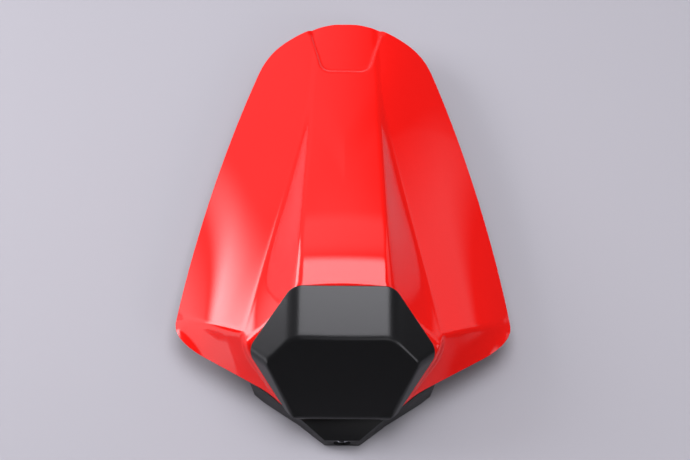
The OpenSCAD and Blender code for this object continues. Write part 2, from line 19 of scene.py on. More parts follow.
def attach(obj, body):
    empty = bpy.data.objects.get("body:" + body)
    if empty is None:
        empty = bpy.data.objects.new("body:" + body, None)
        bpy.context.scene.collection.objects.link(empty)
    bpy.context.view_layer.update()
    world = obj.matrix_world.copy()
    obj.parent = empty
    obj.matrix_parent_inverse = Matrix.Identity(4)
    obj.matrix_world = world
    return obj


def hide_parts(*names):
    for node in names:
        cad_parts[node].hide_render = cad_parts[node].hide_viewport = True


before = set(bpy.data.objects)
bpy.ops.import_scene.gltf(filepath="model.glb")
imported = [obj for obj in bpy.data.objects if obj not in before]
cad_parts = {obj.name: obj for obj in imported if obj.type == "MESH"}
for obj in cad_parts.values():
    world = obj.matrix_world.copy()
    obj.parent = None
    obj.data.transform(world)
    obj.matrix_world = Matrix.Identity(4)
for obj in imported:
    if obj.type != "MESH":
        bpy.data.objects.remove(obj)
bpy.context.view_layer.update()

MM = 0.001
SHARP_ANGLE = math.radians(35)
BODY = "root"
LOG = logging.getLogger("seat_cowl")

Colour = tuple[float, float, float, float]
Place = tuple[float, float]
Array = np.ndarray


class Slot(Enum):
    """The record's material slots."""

    SHELL = "shell_paint"
    TRAY = "tray_plastic"
    PAD = "pad_skin"
    TAPE = "adhesive_sheet"
    SLEEVE = "sleeve_steel"
    SCREW = "screw_steel"
    BUMPER = "bumper_rubber"
    STRIP = "strip_foam"


class Shading(Enum):
    """How a piece's faces are shaded."""

    SMOOTH = "smooth"
    BY_ANGLE = "by_angle"


def linear(hex_colour: str, alpha: float = 1.0) -> Colour:
    """Turns an sRGB hex colour into Blender's linear colour.

    Args:
        hex_colour: Six hex digits after a hash sign.
        alpha: Opacity from 0 to 1.

    Returns:
        Red, green, blue and alpha.
    """
    parts = [int(hex_colour[i:i + 2], 16) / 255 for i in (1, 3, 5)]
    red, green, blue = (p / 12.92 if p <= 0.04045 else ((p + 0.055) / 1.055) ** 2.4 for p in parts)
    return red, green, blue, alpha


def add_node(tree: bpy.types.NodeTree, kind: str, inputs: Mapping[Any, Any] | None = None,
             **settings: Any) -> bpy.types.Node:
    """Adds one node with its settings, values and links.

    Args:
        tree: The node tree that the node goes into.
        kind: Blender's name of the node's type.
        inputs: Values or output sockets by input name or number.
        settings: Properties of the node itself.

    Returns:
        The new node.
    """
    node = tree.nodes.new(kind)
    for name, value in settings.items():
        setattr(node, name, value)
    for name, value in (inputs or {}).items():
        if isinstance(value, bpy.types.NodeSocket):
            tree.links.new(value, node.inputs[name])
        else:
            node.inputs[name].default_value = value
    return node


def blank_material(name: str) -> tuple[bpy.types.Material, bpy.types.NodeTree]:
    """Makes a node material with an empty tree.

    Args:
        name: The material's name.

    Returns:
        The material and its node tree.
    """
    material = bpy.data.materials.new(name)
    material.use_nodes = True
    material.node_tree.nodes.clear()
    return material, material.node_tree


def mix_colours(tree: bpy.types.NodeTree, factor: bpy.types.NodeSocket, first: str,
                second: str) -> bpy.types.NodeSocket:
    """Adds a mix of two colours.

    Args:
        tree: The node tree that the mix goes into.
        factor: The pattern, which is 0 where the first colour shows.
        first: The first colour's hex code.
        second: The second colour's hex code.

    Returns:
        The output with the mixed colour.
    """
    mix = add_node(tree, "ShaderNodeMix", {"Factor": factor, 6: linear(first), 7: linear(second)},
                   data_type="RGBA")
    return mix.outputs[2]


def per_metre(size_mm: float) -> float:
    """Gives the texture scale at which one pattern cell is size_mm wide."""
    return 1 / (size_mm * MM)


@dataclass(frozen=True)
class LacqueredPaint:
    """Solid red paint under clear lacquer on moulded ABS, sprayed and not polished."""

    name: str = "sprayed_red_lacquer_on_abs"
    colour: str = "#F4150F"
    deep_colour: str = "#EF120C"
    paint_roughness: float = 0.5
    lacquer_roughness: float = 0.035
    lacquer_ior: float = 1.5
    cloud_mm: float = 60
    peel_mm: float = 2.6
    peel_depth_mm: float = 0.03

    def material(self) -> bpy.types.Material:
        """Builds the material: a deep even red with sharp reflections and a faint orange peel.

        Returns:
            The paint and its lacquer.
        """
        material, tree = blank_material(self.name)
        place = add_node(tree, "ShaderNodeTexCoord").outputs["Object"]
        # The colour coat is a shade deeper where it lies thicker, in wide clouds.
        clouds = add_node(tree, "ShaderNodeTexNoise", {
            "Vector": place, "Scale": per_metre(self.cloud_mm), "Detail": 2.0})
        tint = mix_colours(tree, clouds.outputs["Fac"], self.colour, self.deep_colour)
        # Orange peel: real lacquer waves by a few micrometres over 2 to 4 mm.
        peel = add_node(tree, "ShaderNodeTexNoise", {
            "Vector": place, "Scale": per_metre(self.peel_mm), "Detail": 1.0, "Roughness": 0.4})
        waves = add_node(tree, "ShaderNodeBump", {
            "Height": peel.outputs["Fac"], "Strength": 0.06, "Distance": self.peel_depth_mm * MM})
        # The colour coat mirrors nothing by itself, because the lacquer wets it.
        shader = add_node(tree, "ShaderNodeBsdfPrincipled", {
            "Base Color": tint, "Roughness": self.paint_roughness, "IOR": 1.5, "Specular IOR Level": 0.0,
            "Coat Weight": 1.0, "Coat Roughness": self.lacquer_roughness, "Coat IOR": self.lacquer_ior,
            "Coat Normal": waves.outputs["Normal"]})
        add_node(tree, "ShaderNodeOutputMaterial", {"Surface": shader.outputs[0]})
        return material


@dataclass(frozen=True)
class MouldedPlastic:
    """Black polypropylene, injection moulded in a tool with an eroded grain."""

    name: str = "moulded_black_polypropylene"
    colour: str = "#080809"
    worn_colour: str = "#0C0C0D"
    roughness: float = 0.48
    gloss: float = 0.35
    flow_mm: float = 25
    grain_mm: float = 0.9
    grain_depth_mm: float = 0.05

    def material(self) -> bpy.types.Material:
        """Builds the material: near black, with a satin sheen that an even fine grain breaks up.

        Returns:
            The moulded plastic.
        """
        material, tree = blank_material(self.name)
        place = add_node(tree, "ShaderNodeTexCoord").outputs["Object"]
        flow = add_node(tree, "ShaderNodeTexNoise", {
            "Vector": place, "Scale": per_metre(self.flow_mm), "Detail": 3.0})
        tint = mix_colours(tree, flow.outputs["Fac"], self.colour, self.worn_colour)
        # The eroded grain is about 0.2 mm wide, and is drawn wider so that it shows.
        grain = add_node(tree, "ShaderNodeTexNoise", {
            "Vector": place, "Scale": per_metre(self.grain_mm), "Detail": 3.0, "Roughness": 0.6})
        bumps = add_node(tree, "ShaderNodeBump", {
            "Height": grain.outputs["Fac"], "Strength": 0.35, "Distance": self.grain_depth_mm * MM})
        shader = add_node(tree, "ShaderNodeBsdfPrincipled", {
            "Base Color": tint, "Roughness": self.roughness, "IOR": 1.49, "Specular IOR Level": self.gloss,
            "Normal": bumps.outputs["Normal"]})
        add_node(tree, "ShaderNodeOutputMaterial", {"Surface": shader.outputs[0]})
        return material


@dataclass(frozen=True)
class SkinnedFoam:
    """Closed-cell EVA foam, pressed hot so that it has a dense skin with a fine dull grain."""

    name: str = "pressed_eva_foam_skin"
    colour: str = "#0D0D0E"
    pale_colour: str = "#121213"
    roughness: float = 0.25
    grain_mm: float = 0.8
    grain_depth_mm: float = 0.06
    dust_mm: float = 3.5

    def material(self) -> bpy.types.Material:
        """Builds the material: dull charcoal that goes grey where light grazes its grain.

        Returns:
            The skinned foam.
        """
        material, tree = blank_material(self.name)
        place = add_node(tree, "ShaderNodeTexCoord").outputs["Object"]
        # Leather-like cells of the skin, 0.4 mm wide on the real one and drawn twice as wide.
        cells = add_node(tree, "ShaderNodeTexVoronoi", {
            "Vector": place, "Scale": per_metre(self.grain_mm), "Randomness": 1.0}, feature="F1")
        dust = add_node(tree, "ShaderNodeTexNoise", {
            "Vector": place, "Scale": per_metre(self.dust_mm), "Detail": 5.0, "Roughness": 0.65})
        tint = mix_colours(tree, dust.outputs["Fac"], self.colour, self.pale_colour)
        bumps = add_node(tree, "ShaderNodeBump", {
            "Height": cells.outputs["Distance"], "Strength": 0.4, "Distance": self.grain_depth_mm * MM})
        shader = add_node(tree, "ShaderNodeBsdfPrincipled", {
            "Base Color": tint, "Roughness": self.roughness, "IOR": 1.5,
            "Sheen Weight": 0.02, "Sheen Roughness": 0.5, "Normal": bumps.outputs["Normal"]})
        add_node(tree, "ShaderNodeOutputMaterial", {"Surface": shader.outputs[0]})
        return material


@dataclass(frozen=True)
class FoamSheet:
    """Cut foam sheet with open cells on its faces, for strips and tape."""

    name: str
    colour: str
    # Painted shade: the darker colour that the pits of the cells get.
    pit_shade_colour: str
    cell_mm: float = 0.9
    pit_depth_mm: float = 0.1

    def material(self) -> bpy.types.Material:
        """Builds the material: dull, with painted shade in the pits of cut cells.

        Returns:
            The cut foam.
        """
        material, tree = blank_material(self.name)
        place = add_node(tree, "ShaderNodeTexCoord").outputs["Object"]
        cells = add_node(tree, "ShaderNodeTexVoronoi", {
            "Vector": place, "Scale": per_metre(self.cell_mm)}, feature="F1")
        pits = add_node(tree, "ShaderNodeMapRange", {
            "Value": cells.outputs["Distance"], "From Min": 0.1, "From Max": 0.6})
        # The pits get the darker colour, which is painted shade in the hollow cut cells.
        tint = mix_colours(tree, pits.outputs[0], self.pit_shade_colour, self.colour)
        bumps = add_node(tree, "ShaderNodeBump", {
            "Height": pits.outputs[0], "Strength": 0.5, "Distance": self.pit_depth_mm * MM})
        shader = add_node(tree, "ShaderNodeBsdfPrincipled", {
            "Base Color": tint, "Roughness": 0.9, "IOR": 1.5, "Normal": bumps.outputs["Normal"]})
        add_node(tree, "ShaderNodeOutputMaterial", {"Surface": shader.outputs[0]})
        return material


@dataclass(frozen=True)
class ZincedSteel:
    """Mild steel, turned or rolled and then zinc plated bright."""

    name: str
    colour: str = "#C9CBCF"
    roughness: float = 0.28
    stain_mm: float = 2.0
    turning_mm: float = 1.57
    turning_depth_mm: float = 0.02

    def material(self) -> bpy.types.Material:
        """Builds the material: bright cool metal with the fine lines that the tool left.

        Returns:
            The plated steel.
        """
        material, tree = blank_material(self.name)
        place = add_node(tree, "ShaderNodeTexCoord").outputs["Object"]
        stains = add_node(tree, "ShaderNodeTexNoise", {
            "Vector": place, "Scale": per_metre(self.stain_mm), "Detail": 4.0})
        gloss = add_node(tree, "ShaderNodeMapRange", {
            "Value": stains.outputs["Fac"], "To Min": self.roughness - 0.06, "To Max": self.roughness + 0.1})
        # At scale 1 a wave texture's bands are 2 pi / 20 wide.
        scale = per_metre(self.turning_mm) * 2 * math.pi / 20
        lines = add_node(tree, "ShaderNodeTexWave", {"Vector": place, "Scale": scale, "Distortion": 1.0},
                         wave_type="BANDS")
        bumps = add_node(tree, "ShaderNodeBump", {
            "Height": lines.outputs["Fac"], "Strength": 0.1, "Distance": self.turning_depth_mm * MM})
        shader = add_node(tree, "ShaderNodeBsdfPrincipled", {
            "Base Color": linear(self.colour), "Metallic": 1.0, "Roughness": gloss.outputs[0],
            "Normal": bumps.outputs["Normal"]})
        add_node(tree, "ShaderNodeOutputMaterial", {"Surface": shader.outputs[0]})
        return material


@dataclass(frozen=True)
class MouldedRubber:
    """Black EPDM rubber, compression moulded."""

    name: str = "moulded_black_epdm_rubber"
    colour: str = "#161616"
    bloom_colour: str = "#242423"
    bloom_mm: float = 4
    pit_depth_mm: float = 0.1

    def material(self) -> bpy.types.Material:
        """Builds the material: dull black with a faint grey bloom.

        Returns:
            The moulded rubber.
        """
        material, tree = blank_material(self.name)
        place = add_node(tree, "ShaderNodeTexCoord").outputs["Object"]
        bloom = add_node(tree, "ShaderNodeTexNoise", {
            "Vector": place, "Scale": per_metre(self.bloom_mm), "Detail": 5.0, "Roughness": 0.6})
        tint = mix_colours(tree, bloom.outputs["Fac"], self.colour, self.bloom_colour)
        bumps = add_node(tree, "ShaderNodeBump", {
            "Height": bloom.outputs["Fac"], "Strength": 0.2, "Distance": self.pit_depth_mm * MM})
        shader = add_node(tree, "ShaderNodeBsdfPrincipled", {
            "Base Color": tint, "Roughness": 0.7, "IOR": 1.52, "Normal": bumps.outputs["Normal"]})
        add_node(tree, "ShaderNodeOutputMaterial", {"Surface": shader.outputs[0]})
        return material


def make_piece(name: str, points: Array, faces: Sequence[Sequence[int]], material: bpy.types.Material,
               shading: Shading = Shading.SMOOTH) -> bpy.types.Object:
    """Makes a piece from points in millimetres and lets it ride on the frame.

    Args:
        name: The piece's name.
        points: Vertex places in millimetres, one row each.
        faces: Vertex numbers of each face, anticlockwise from outside.
        material: The finish.
        shading: Smooth all over, or with sharp edges by angle.

    Returns:
        The new object.
    """
    mesh = bpy.data.meshes.new(name)
    mesh.from_pydata((np.asarray(points, float) * MM).tolist(), [], [list(map(int, f)) for f in faces])
    mesh.validate()
    mesh.update()
    mesh.materials.append(material)
    mesh.polygons.foreach_set("use_smooth", [True] * len(mesh.polygons))
    if shading is Shading.BY_ANGLE:
        mesh.set_sharp_from_angle(angle=SHARP_ANGLE)
    piece = bpy.data.objects.new(name, mesh)
    bpy.context.scene.collection.objects.link(piece)
    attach(piece, BODY)
    LOG.info("%s: %d faces", name, len(mesh.polygons))
    return piece


def apply_modifiers(piece: bpy.types.Object) -> None:
    """Turns a piece's modifiers into plain mesh.

    Args:
        piece: The object whose modifiers are applied.
    """
    bpy.context.view_layer.update()
    graph = bpy.context.evaluated_depsgraph_get()
    done = bpy.data.meshes.new_from_object(piece.evaluated_get(graph))
    piece.modifiers.clear()
    piece.data = done


def skin_rings(rings: Sequence[Array], start: Array, end: Array) -> tuple[Array, list[list[int]]]:
    """Joins closed rings of points into one closed skin with a point at each end.

    Args:
        rings: Arrays of points with the same count, anticlockwise seen from the end.
        start: The point that closes the first ring.
        end: The point that closes the last ring.

    Returns:
        All points, and the faces.
    """
    count = len(rings[0])
    points = np.vstack([np.vstack(rings), start[None, :], end[None, :]])
    first, last = len(points) - 2, len(points) - 1
    top = (len(rings) - 1) * count
    faces: list[list[int]] = []
    for k in range(count):
        n = (k + 1) % count
        faces.append([first, n, k])
        faces.append([last, top + k, top + n])
        for low in range(0, top, count):
            faces.append([low + k, low + n, low + count + n, low + count + k])
    return points, faces


def circle(radius: float, height: float, count: int) -> Array:
    """Gives a level ring of points around Z, in millimetres."""
    turn = np.arange(count) * 2 * math.pi / count
    return np.column_stack([radius * np.cos(turn), radius * np.sin(turn), np.full(count, height)])


def on_both_sides(places: Sequence[Place]) -> list[Place]:
    """Gives each place on the left and then on the right, in the order of the places."""
    return [(side * x, y) for x, y in places for side in (-1, 1)]


def soft_min(a: Array, b: Array, k: float) -> Array:
    """Gives the lower of two heights, with a fillet where they are within k of each other."""
    h = np.maximum(k - np.abs(a - b), 0) / k
    return np.minimum(a, b) - h * h * k / 4


def soft_max(a: Array, b: Array, k: float) -> Array:
    """Gives the higher of two heights, with a fillet where they are within k of each other."""
    return -soft_min(-a, -b, k)


def step_at(t: Array, width: float) -> Array:
    """Rises smoothly from 0 to 1 around t = 0, over the given width."""
    u = np.clip(t / width + 0.5, 0, 1)
    return u * u * (3 - 2 * u)


def drop(d: float, slope_x: Array, slope_y: Array) -> Array:
    """Tells how far a face with these slopes drops when it moves inwards by d."""
    return d * np.sqrt(1 + slope_x * slope_x + slope_y * slope_y)


@dataclass
class CowlSurface:
    """The shell's surface as a height field over its plan outline, in millimetres.

    The sizes have the names and the values that they have in the part's source. Each face is a
    formula, and soft minimum and maximum functions join the faces. In the methods, s is the distance
    from the middle plane, y the place along, and d how far inwards the surface is moved.
    """

    cowl_length: float = 349
    cowl_width: float = 262
    tail_width: float = 140
    chin_width: float = 72
    cheek_width: float = 110.6
    tongue_reach: float = 14
    corner_in: float = 61.5
    cheek_in: float = 17
    tail_corner_in: float = 42
    tail_nose_r: float = 70
    tail_cut: float = 0.5
    side_bow: float = 5.5
    bow_reach: float = 110
    crown_z: float = 93
    crown_in: float = 119
    back_r: float = 160
    crown_r: float = 400
    tail_rim_z: float = 31
    side_rim_back_z: float = 29
    side_rim_front_z: float = 25
    chin_rim_z: float = 21.6
    wall: float = 3
    apex_in: float = 95
    apex_half: float = 28
    ridge_half: float = 34.4
    valley_half: float = 72
    valley_in: float = 54
    valley_z: float = 62
    wing_fall: float = 22
    flank_hollow: float = 1.5
    hollow_run: float = 80
    valley_start: float = 2
    skirt_w: float = 25
    crease_in: float = 78
    chin_draft: float = 10
    seat_margin: float = 2
    wall_out: float = 2
    recess_length: float = 52
    recess_front_half: float = 18.5
    recess_tail_half: float = 31
    recess_depth: float = 2.4
    ridge_blend: float = 4
    valley_blend: float = 3
    shoulder_blend: float = 9
    back_blend: float = 6
    crease_blend: float = 2.2
    seat_blend: float = 2.5
    crown_blend: float = 7
    corner_blend: float = 28
    wall_blend: float = 6
    tail_blend: float = 9
    recess_step: float = 3.5
    recess_corner: float = 9
    seat_angle: float = 38.5
    seat_low_z: float = 28
    pad_length: float = 104
    pad_width: float = 141
    pad_low_width: float = 77
    pad_wide_at: float = 53.5

    def __post_init__(self) -> None:
        """Works out the places and slopes that follow from the sizes."""
        self.tail_y = self.cowl_length / 2
        self.chin_y = -self.cowl_length / 2 + self.tongue_reach
        self.corner_y = self.chin_y + self.corner_in
        self.cheek_y = self.chin_y + self.cheek_in
        self.tail_corner_y = self.tail_y - self.tail_corner_in
        self.crown_y = self.chin_y + self.crown_in
        self.apex_y = self.tail_y - self.apex_in
        self.valley_y = self.chin_y + self.valley_in
        self.recess_y = self.tail_y - self.recess_length
        half = self.cowl_width / 2
        self.side_slope = (self.cowl_width - self.tail_width) / 2 / (self.tail_corner_y - self.corner_y)
        self.front_slope = (self.cowl_width - self.cheek_width) / 2 / (self.corner_y - self.cheek_y)
        self.chin_slope = (self.cheek_width - self.chin_width) / 2 / (self.cheek_y - self.chin_y)
        self.back_slope = (self.crown_z - self.tail_rim_z) / (self.tail_y - self.crown_y)
        self.seat_slope = math.tan(math.radians(self.seat_angle))
        self.fall_slope = math.tan(math.radians(self.wing_fall))
        self.draft_slope = 1 / math.tan(math.radians(self.chin_draft))
        seat_run = self.pad_length * math.cos(math.radians(self.seat_angle))
        self.ridge_slope = (self.ridge_half - self.apex_half) / (self.apex_y - self.chin_y - seat_run)
        self.valley_slope = (self.valley_half - self.apex_half) / (self.apex_y - self.valley_y)
        self.crease_slope = (self.crease_in - self.valley_in) / (half - self.valley_half)
        cheek_rim_z = self.chin_rim_z + self.seat_slope * self.cheek_in
        self.rim_slope = (cheek_rim_z - self.side_rim_front_z) / (half - self.cheek_width / 2)
        self.flange_slope = ((self.pad_width - self.pad_low_width) / 2 / self.pad_wide_at
                             / math.cos(math.radians(self.seat_angle)))
        self.apex_z = float(self.back_z(self.apex_half, self.apex_y, 0))
        fall = self.fall_slope * (self.valley_half - self.apex_half)
        self.wing_rise = (self.valley_z - self.apex_z + fall) / (self.apex_y - self.valley_y)

    def side_half(self, y: Array) -> Array:
        """Gives the half width at the long sides, which bow out a little.

        Args:
            y: Places along.

        Returns:
            The half widths.
        """
        mid = (self.corner_y + self.tail_corner_y) / 2
        return (self.cowl_width / 2 + self.side_slope * (self.corner_y - y)
                + self.side_bow * (1 - ((y - mid) / self.bow_reach) ** 2))

    def chin_half(self, y: Array) -> Array:
        """Gives the half width at the foot of the walls beside the chin."""
        return self.chin_width / 2 + self.chin_slope * (y - self.chin_y)

    def wall_half(self, y: Array) -> Array:
        """Gives the half width at the foot of the walls, which stay a margin outside the pad.

        Args:
            y: Places along.

        Returns:
            The half widths.
        """
        beside_pad = self.pad_low_width / 2 + self.seat_margin + self.flange_slope * (y - self.chin_y)
        widest = self.valley_half + self.wall_out
        return soft_min(np.minimum(self.chin_half(y), beside_pad), widest, self.wall_blend)

    def half_width(self, y: Array, d: float = 0) -> Array:
        """Gives the half width of the outline.

        Args:
            y: Places along.
            d: How far inwards the outline is moved.

        Returns:
            The half widths.
        """
        front = soft_max(self.cowl_width / 2 + self.front_slope * (y - self.corner_y), self.chin_half(y),
                         self.valley_blend) - drop(d, self.front_slope, 0)
        tail = np.sqrt(np.maximum(2 * self.tail_nose_r * (self.tail_y + self.tail_cut - d - y), 0))
        body = soft_min(self.side_half(y) - d, front, self.corner_blend)
        return np.minimum(soft_min(body, tail, self.tail_blend), tail)

    def recess_half(self, y: Array) -> Array:
        """Gives the half width of the tail recess."""
        return (self.recess_front_half
                + (self.recess_tail_half - self.recess_front_half) * (y - self.recess_y) / self.recess_length)

    def ridge_x(self, y: Array) -> Array:
        """Gives the place of the ridge between crown and flank."""
        return self.apex_half + self.ridge_slope * (self.apex_y - y)

    def valley_x(self, y: Array) -> Array:
        """Gives the place of the valley between flank and wing."""
        return self.apex_half + self.valley_slope * (self.apex_y - y)

    def back_z(self, s: Array, y: Array, d: float) -> Array:
        """Gives the height of the back and the crown, which bend less towards the front.

        Args:
            s: Distances from the middle plane.
            y: Places along.
            d: How far inwards the surface is moved.

        Returns:
            The heights.
        """
        share = np.clip((self.apex_y - y) / (self.apex_y - self.crown_y), 0, 1)
        bend = 1 / self.back_r + (1 / self.crown_r - 1 / self.back_r) * share
        rise = self.tail_rim_z + self.back_slope * (self.tail_y - y)
        spine = soft_min(rise, self.crown_z, self.crown_blend)
        return spine - s * s * bend / 2 - drop(d, s * bend, self.back_slope / 2)

    def wing_z(self, s: Array, y: Array, d: float) -> Array:
        """Gives the height of the wings."""
        return (self.apex_z + self.wing_rise * (self.apex_y - y) - self.fall_slope * (s - self.apex_half)
                - drop(d, self.fall_slope, self.wing_rise))

    def flank_z(self, s: Array, y: Array, d: float) -> Array:
        """Gives the height of the flanks between ridge and valley, which are slightly hollow.

        Args:
            s: Distances from the middle plane.
            y: Places along.
            d: How far inwards the surface is moved.

        Returns:
            The heights.
        """
        yy = np.minimum(y, self.apex_y - self.valley_start)
        run = self.valley_x(yy) - self.ridge_x(yy)
        steep = (self.back_z(self.ridge_x(yy), yy, 0) - self.wing_z(self.valley_x(yy), yy, 0)) / run
        u = np.clip((s - self.ridge_x(y)) / np.maximum(self.valley_x(y) - self.ridge_x(y), 1), 0, 1)
        hollow = self.flank_hollow * np.sin(math.pi * u) * np.clip((self.apex_y - y) / self.hollow_run, 0, 1)
        return self.back_z(self.ridge_x(y), y, 0) - steep * (s - self.ridge_x(y)) - drop(d, steep, 0) - hollow

    def side_rim_z(self, y: Array) -> Array:
        """Gives the height of the rim along the sides."""
        u = np.clip((y - self.corner_y) / (self.tail_corner_y - self.corner_y), 0, 1)
        return self.side_rim_front_z + (self.side_rim_back_z - self.side_rim_front_z) * u

    def skirt_z(self, s: Array, y: Array, d: float) -> Array:
        """Gives the height of the skirts, which fall from the shoulders to the rim.

        Args:
            s: Distances from the middle plane.
            y: Places along.
            d: How far inwards the surface is moved.

        Returns:
            The heights.
        """
        half = self.side_half(y)
        steep = (self.wing_z(half - self.skirt_w, y, 0) - self.side_rim_z(y)) / self.skirt_w
        return self.side_rim_z(y) + steep * (half - s) - drop(d, steep, 0)

    def front_rim_z(self, s: Array) -> Array:
        """Gives the height of the rim along the front edges."""
        return self.side_rim_front_z + (self.cowl_width / 2 - s) * self.rim_slope

    def facet_z(self, s: Array, y: Array, d: float) -> Array:
        """Gives the height of the front facets, ruled from the crease to the rim.

        Args:
            s: Distances from the middle plane.
            y: Places along.
            d: How far inwards the surface is moved.

        Returns:
            The heights.
        """
        top_y = self.valley_y + (s - self.valley_half) * self.crease_slope
        low_y = self.corner_y + (s - self.cowl_width / 2) / self.front_slope
        top_z = soft_min(self.wing_z(s, top_y, 0), self.skirt_z(s, top_y, 0), self.shoulder_blend)
        steep = (top_z - self.front_rim_z(s)) / (top_y - low_y)
        return self.front_rim_z(s) + steep * (y - low_y) - drop(d, steep / self.front_slope, steep)

    def cheek_z(self, s: Array, y: Array, d: float) -> Array:
        """Gives the height of the steep walls beside the pad.

        Args:
            s: Distances from the middle plane.
            y: Places along.
            d: How far inwards the surface is moved.

        Returns:
            The heights.
        """
        foot_z = self.chin_rim_z + self.seat_slope * (y - self.chin_y)
        return (foot_z + self.draft_slope * (self.wall_half(y) - s)
                - drop(d, self.draft_slope, self.seat_slope + self.draft_slope * self.flange_slope))

    def height(self, x: Array, y: Array, d: float = 0) -> Array:
        """Gives the height of the surface moved inwards by d.

        Args:
            x: Places across.
            y: Places along.
            d: How far inwards the surface is moved.

        Returns:
            The heights.
        """
        s = np.abs(x)
        back = self.back_z(s, y, d)
        slopes = soft_min(back, self.wing_z(s, y, d), self.back_blend)
        wing = soft_min(soft_min(slopes, self.skirt_z(s, y, d), self.shoulder_blend),
                        self.facet_z(s, y, d), self.crease_blend)
        hump = soft_min(soft_min(back, self.flank_z(s, y, d), self.ridge_blend),
                        self.cheek_z(s, y, d), self.ridge_blend)
        seat = self.seat_low_z + self.seat_slope * (y - self.chin_y) - drop(d, 0, self.seat_slope)
        recess_edge = soft_min(self.recess_half(y) - s, y - self.recess_y, self.recess_corner)
        recess = self.recess_depth * step_at(recess_edge, self.recess_step)
        return soft_min(soft_max(wing, hump, self.valley_blend), seat, self.seat_blend) - recess


@dataclass(frozen=True)
class FixingPlan:
    """Plan places of screws and bumpers, measured from the cowl's corners in millimetres."""

    front_screw_inset: float = 8
    front_screw_in: float = 30
    middle_screw_inset: float = 28
    middle_screw_in: float = 96
    rear_screw_inset: float = 13
    rear_screw_in: float = 15
    tail_screw_out: float = 2
    tail_screw_in: float = 2
    front_bumper_inset: float = 16
    front_bumper_in: float = 12
    rear_bumper_out: float = 20
    rear_bumper_in: float = 24

    def screws(self, f: CowlSurface) -> list[Place]:
        """Gives the places of the eight screws, in pairs from the front.

        Args:
            f: The shell's surface, whose corners the places are measured from.

        Returns:
            X and Y of each screw.
        """
        shoulder = f.cowl_width / 2 - f.skirt_w
        return on_both_sides([
            (shoulder - self.front_screw_inset, f.corner_y + self.front_screw_in),
            (shoulder - self.middle_screw_inset, f.corner_y + self.middle_screw_in),
            (f.tail_width / 2 - self.rear_screw_inset, f.apex_y - self.rear_screw_in),
            (f.apex_half + self.tail_screw_out, f.tail_corner_y - self.tail_screw_in)])

    def bumpers(self, f: CowlSurface) -> list[Place]:
        """Gives the places of the four bumpers, in pairs from the front.

        Args:
            f: The shell's surface, whose corners the places are measured from.

        Returns:
            X and Y of each bumper.
        """
        shoulder = f.cowl_width / 2 - f.skirt_w
        return on_both_sides([
            (shoulder - self.front_bumper_inset, f.corner_y + self.front_bumper_in),
            (f.apex_half + self.rear_bumper_out, f.tail_corner_y - self.rear_bumper_in)])


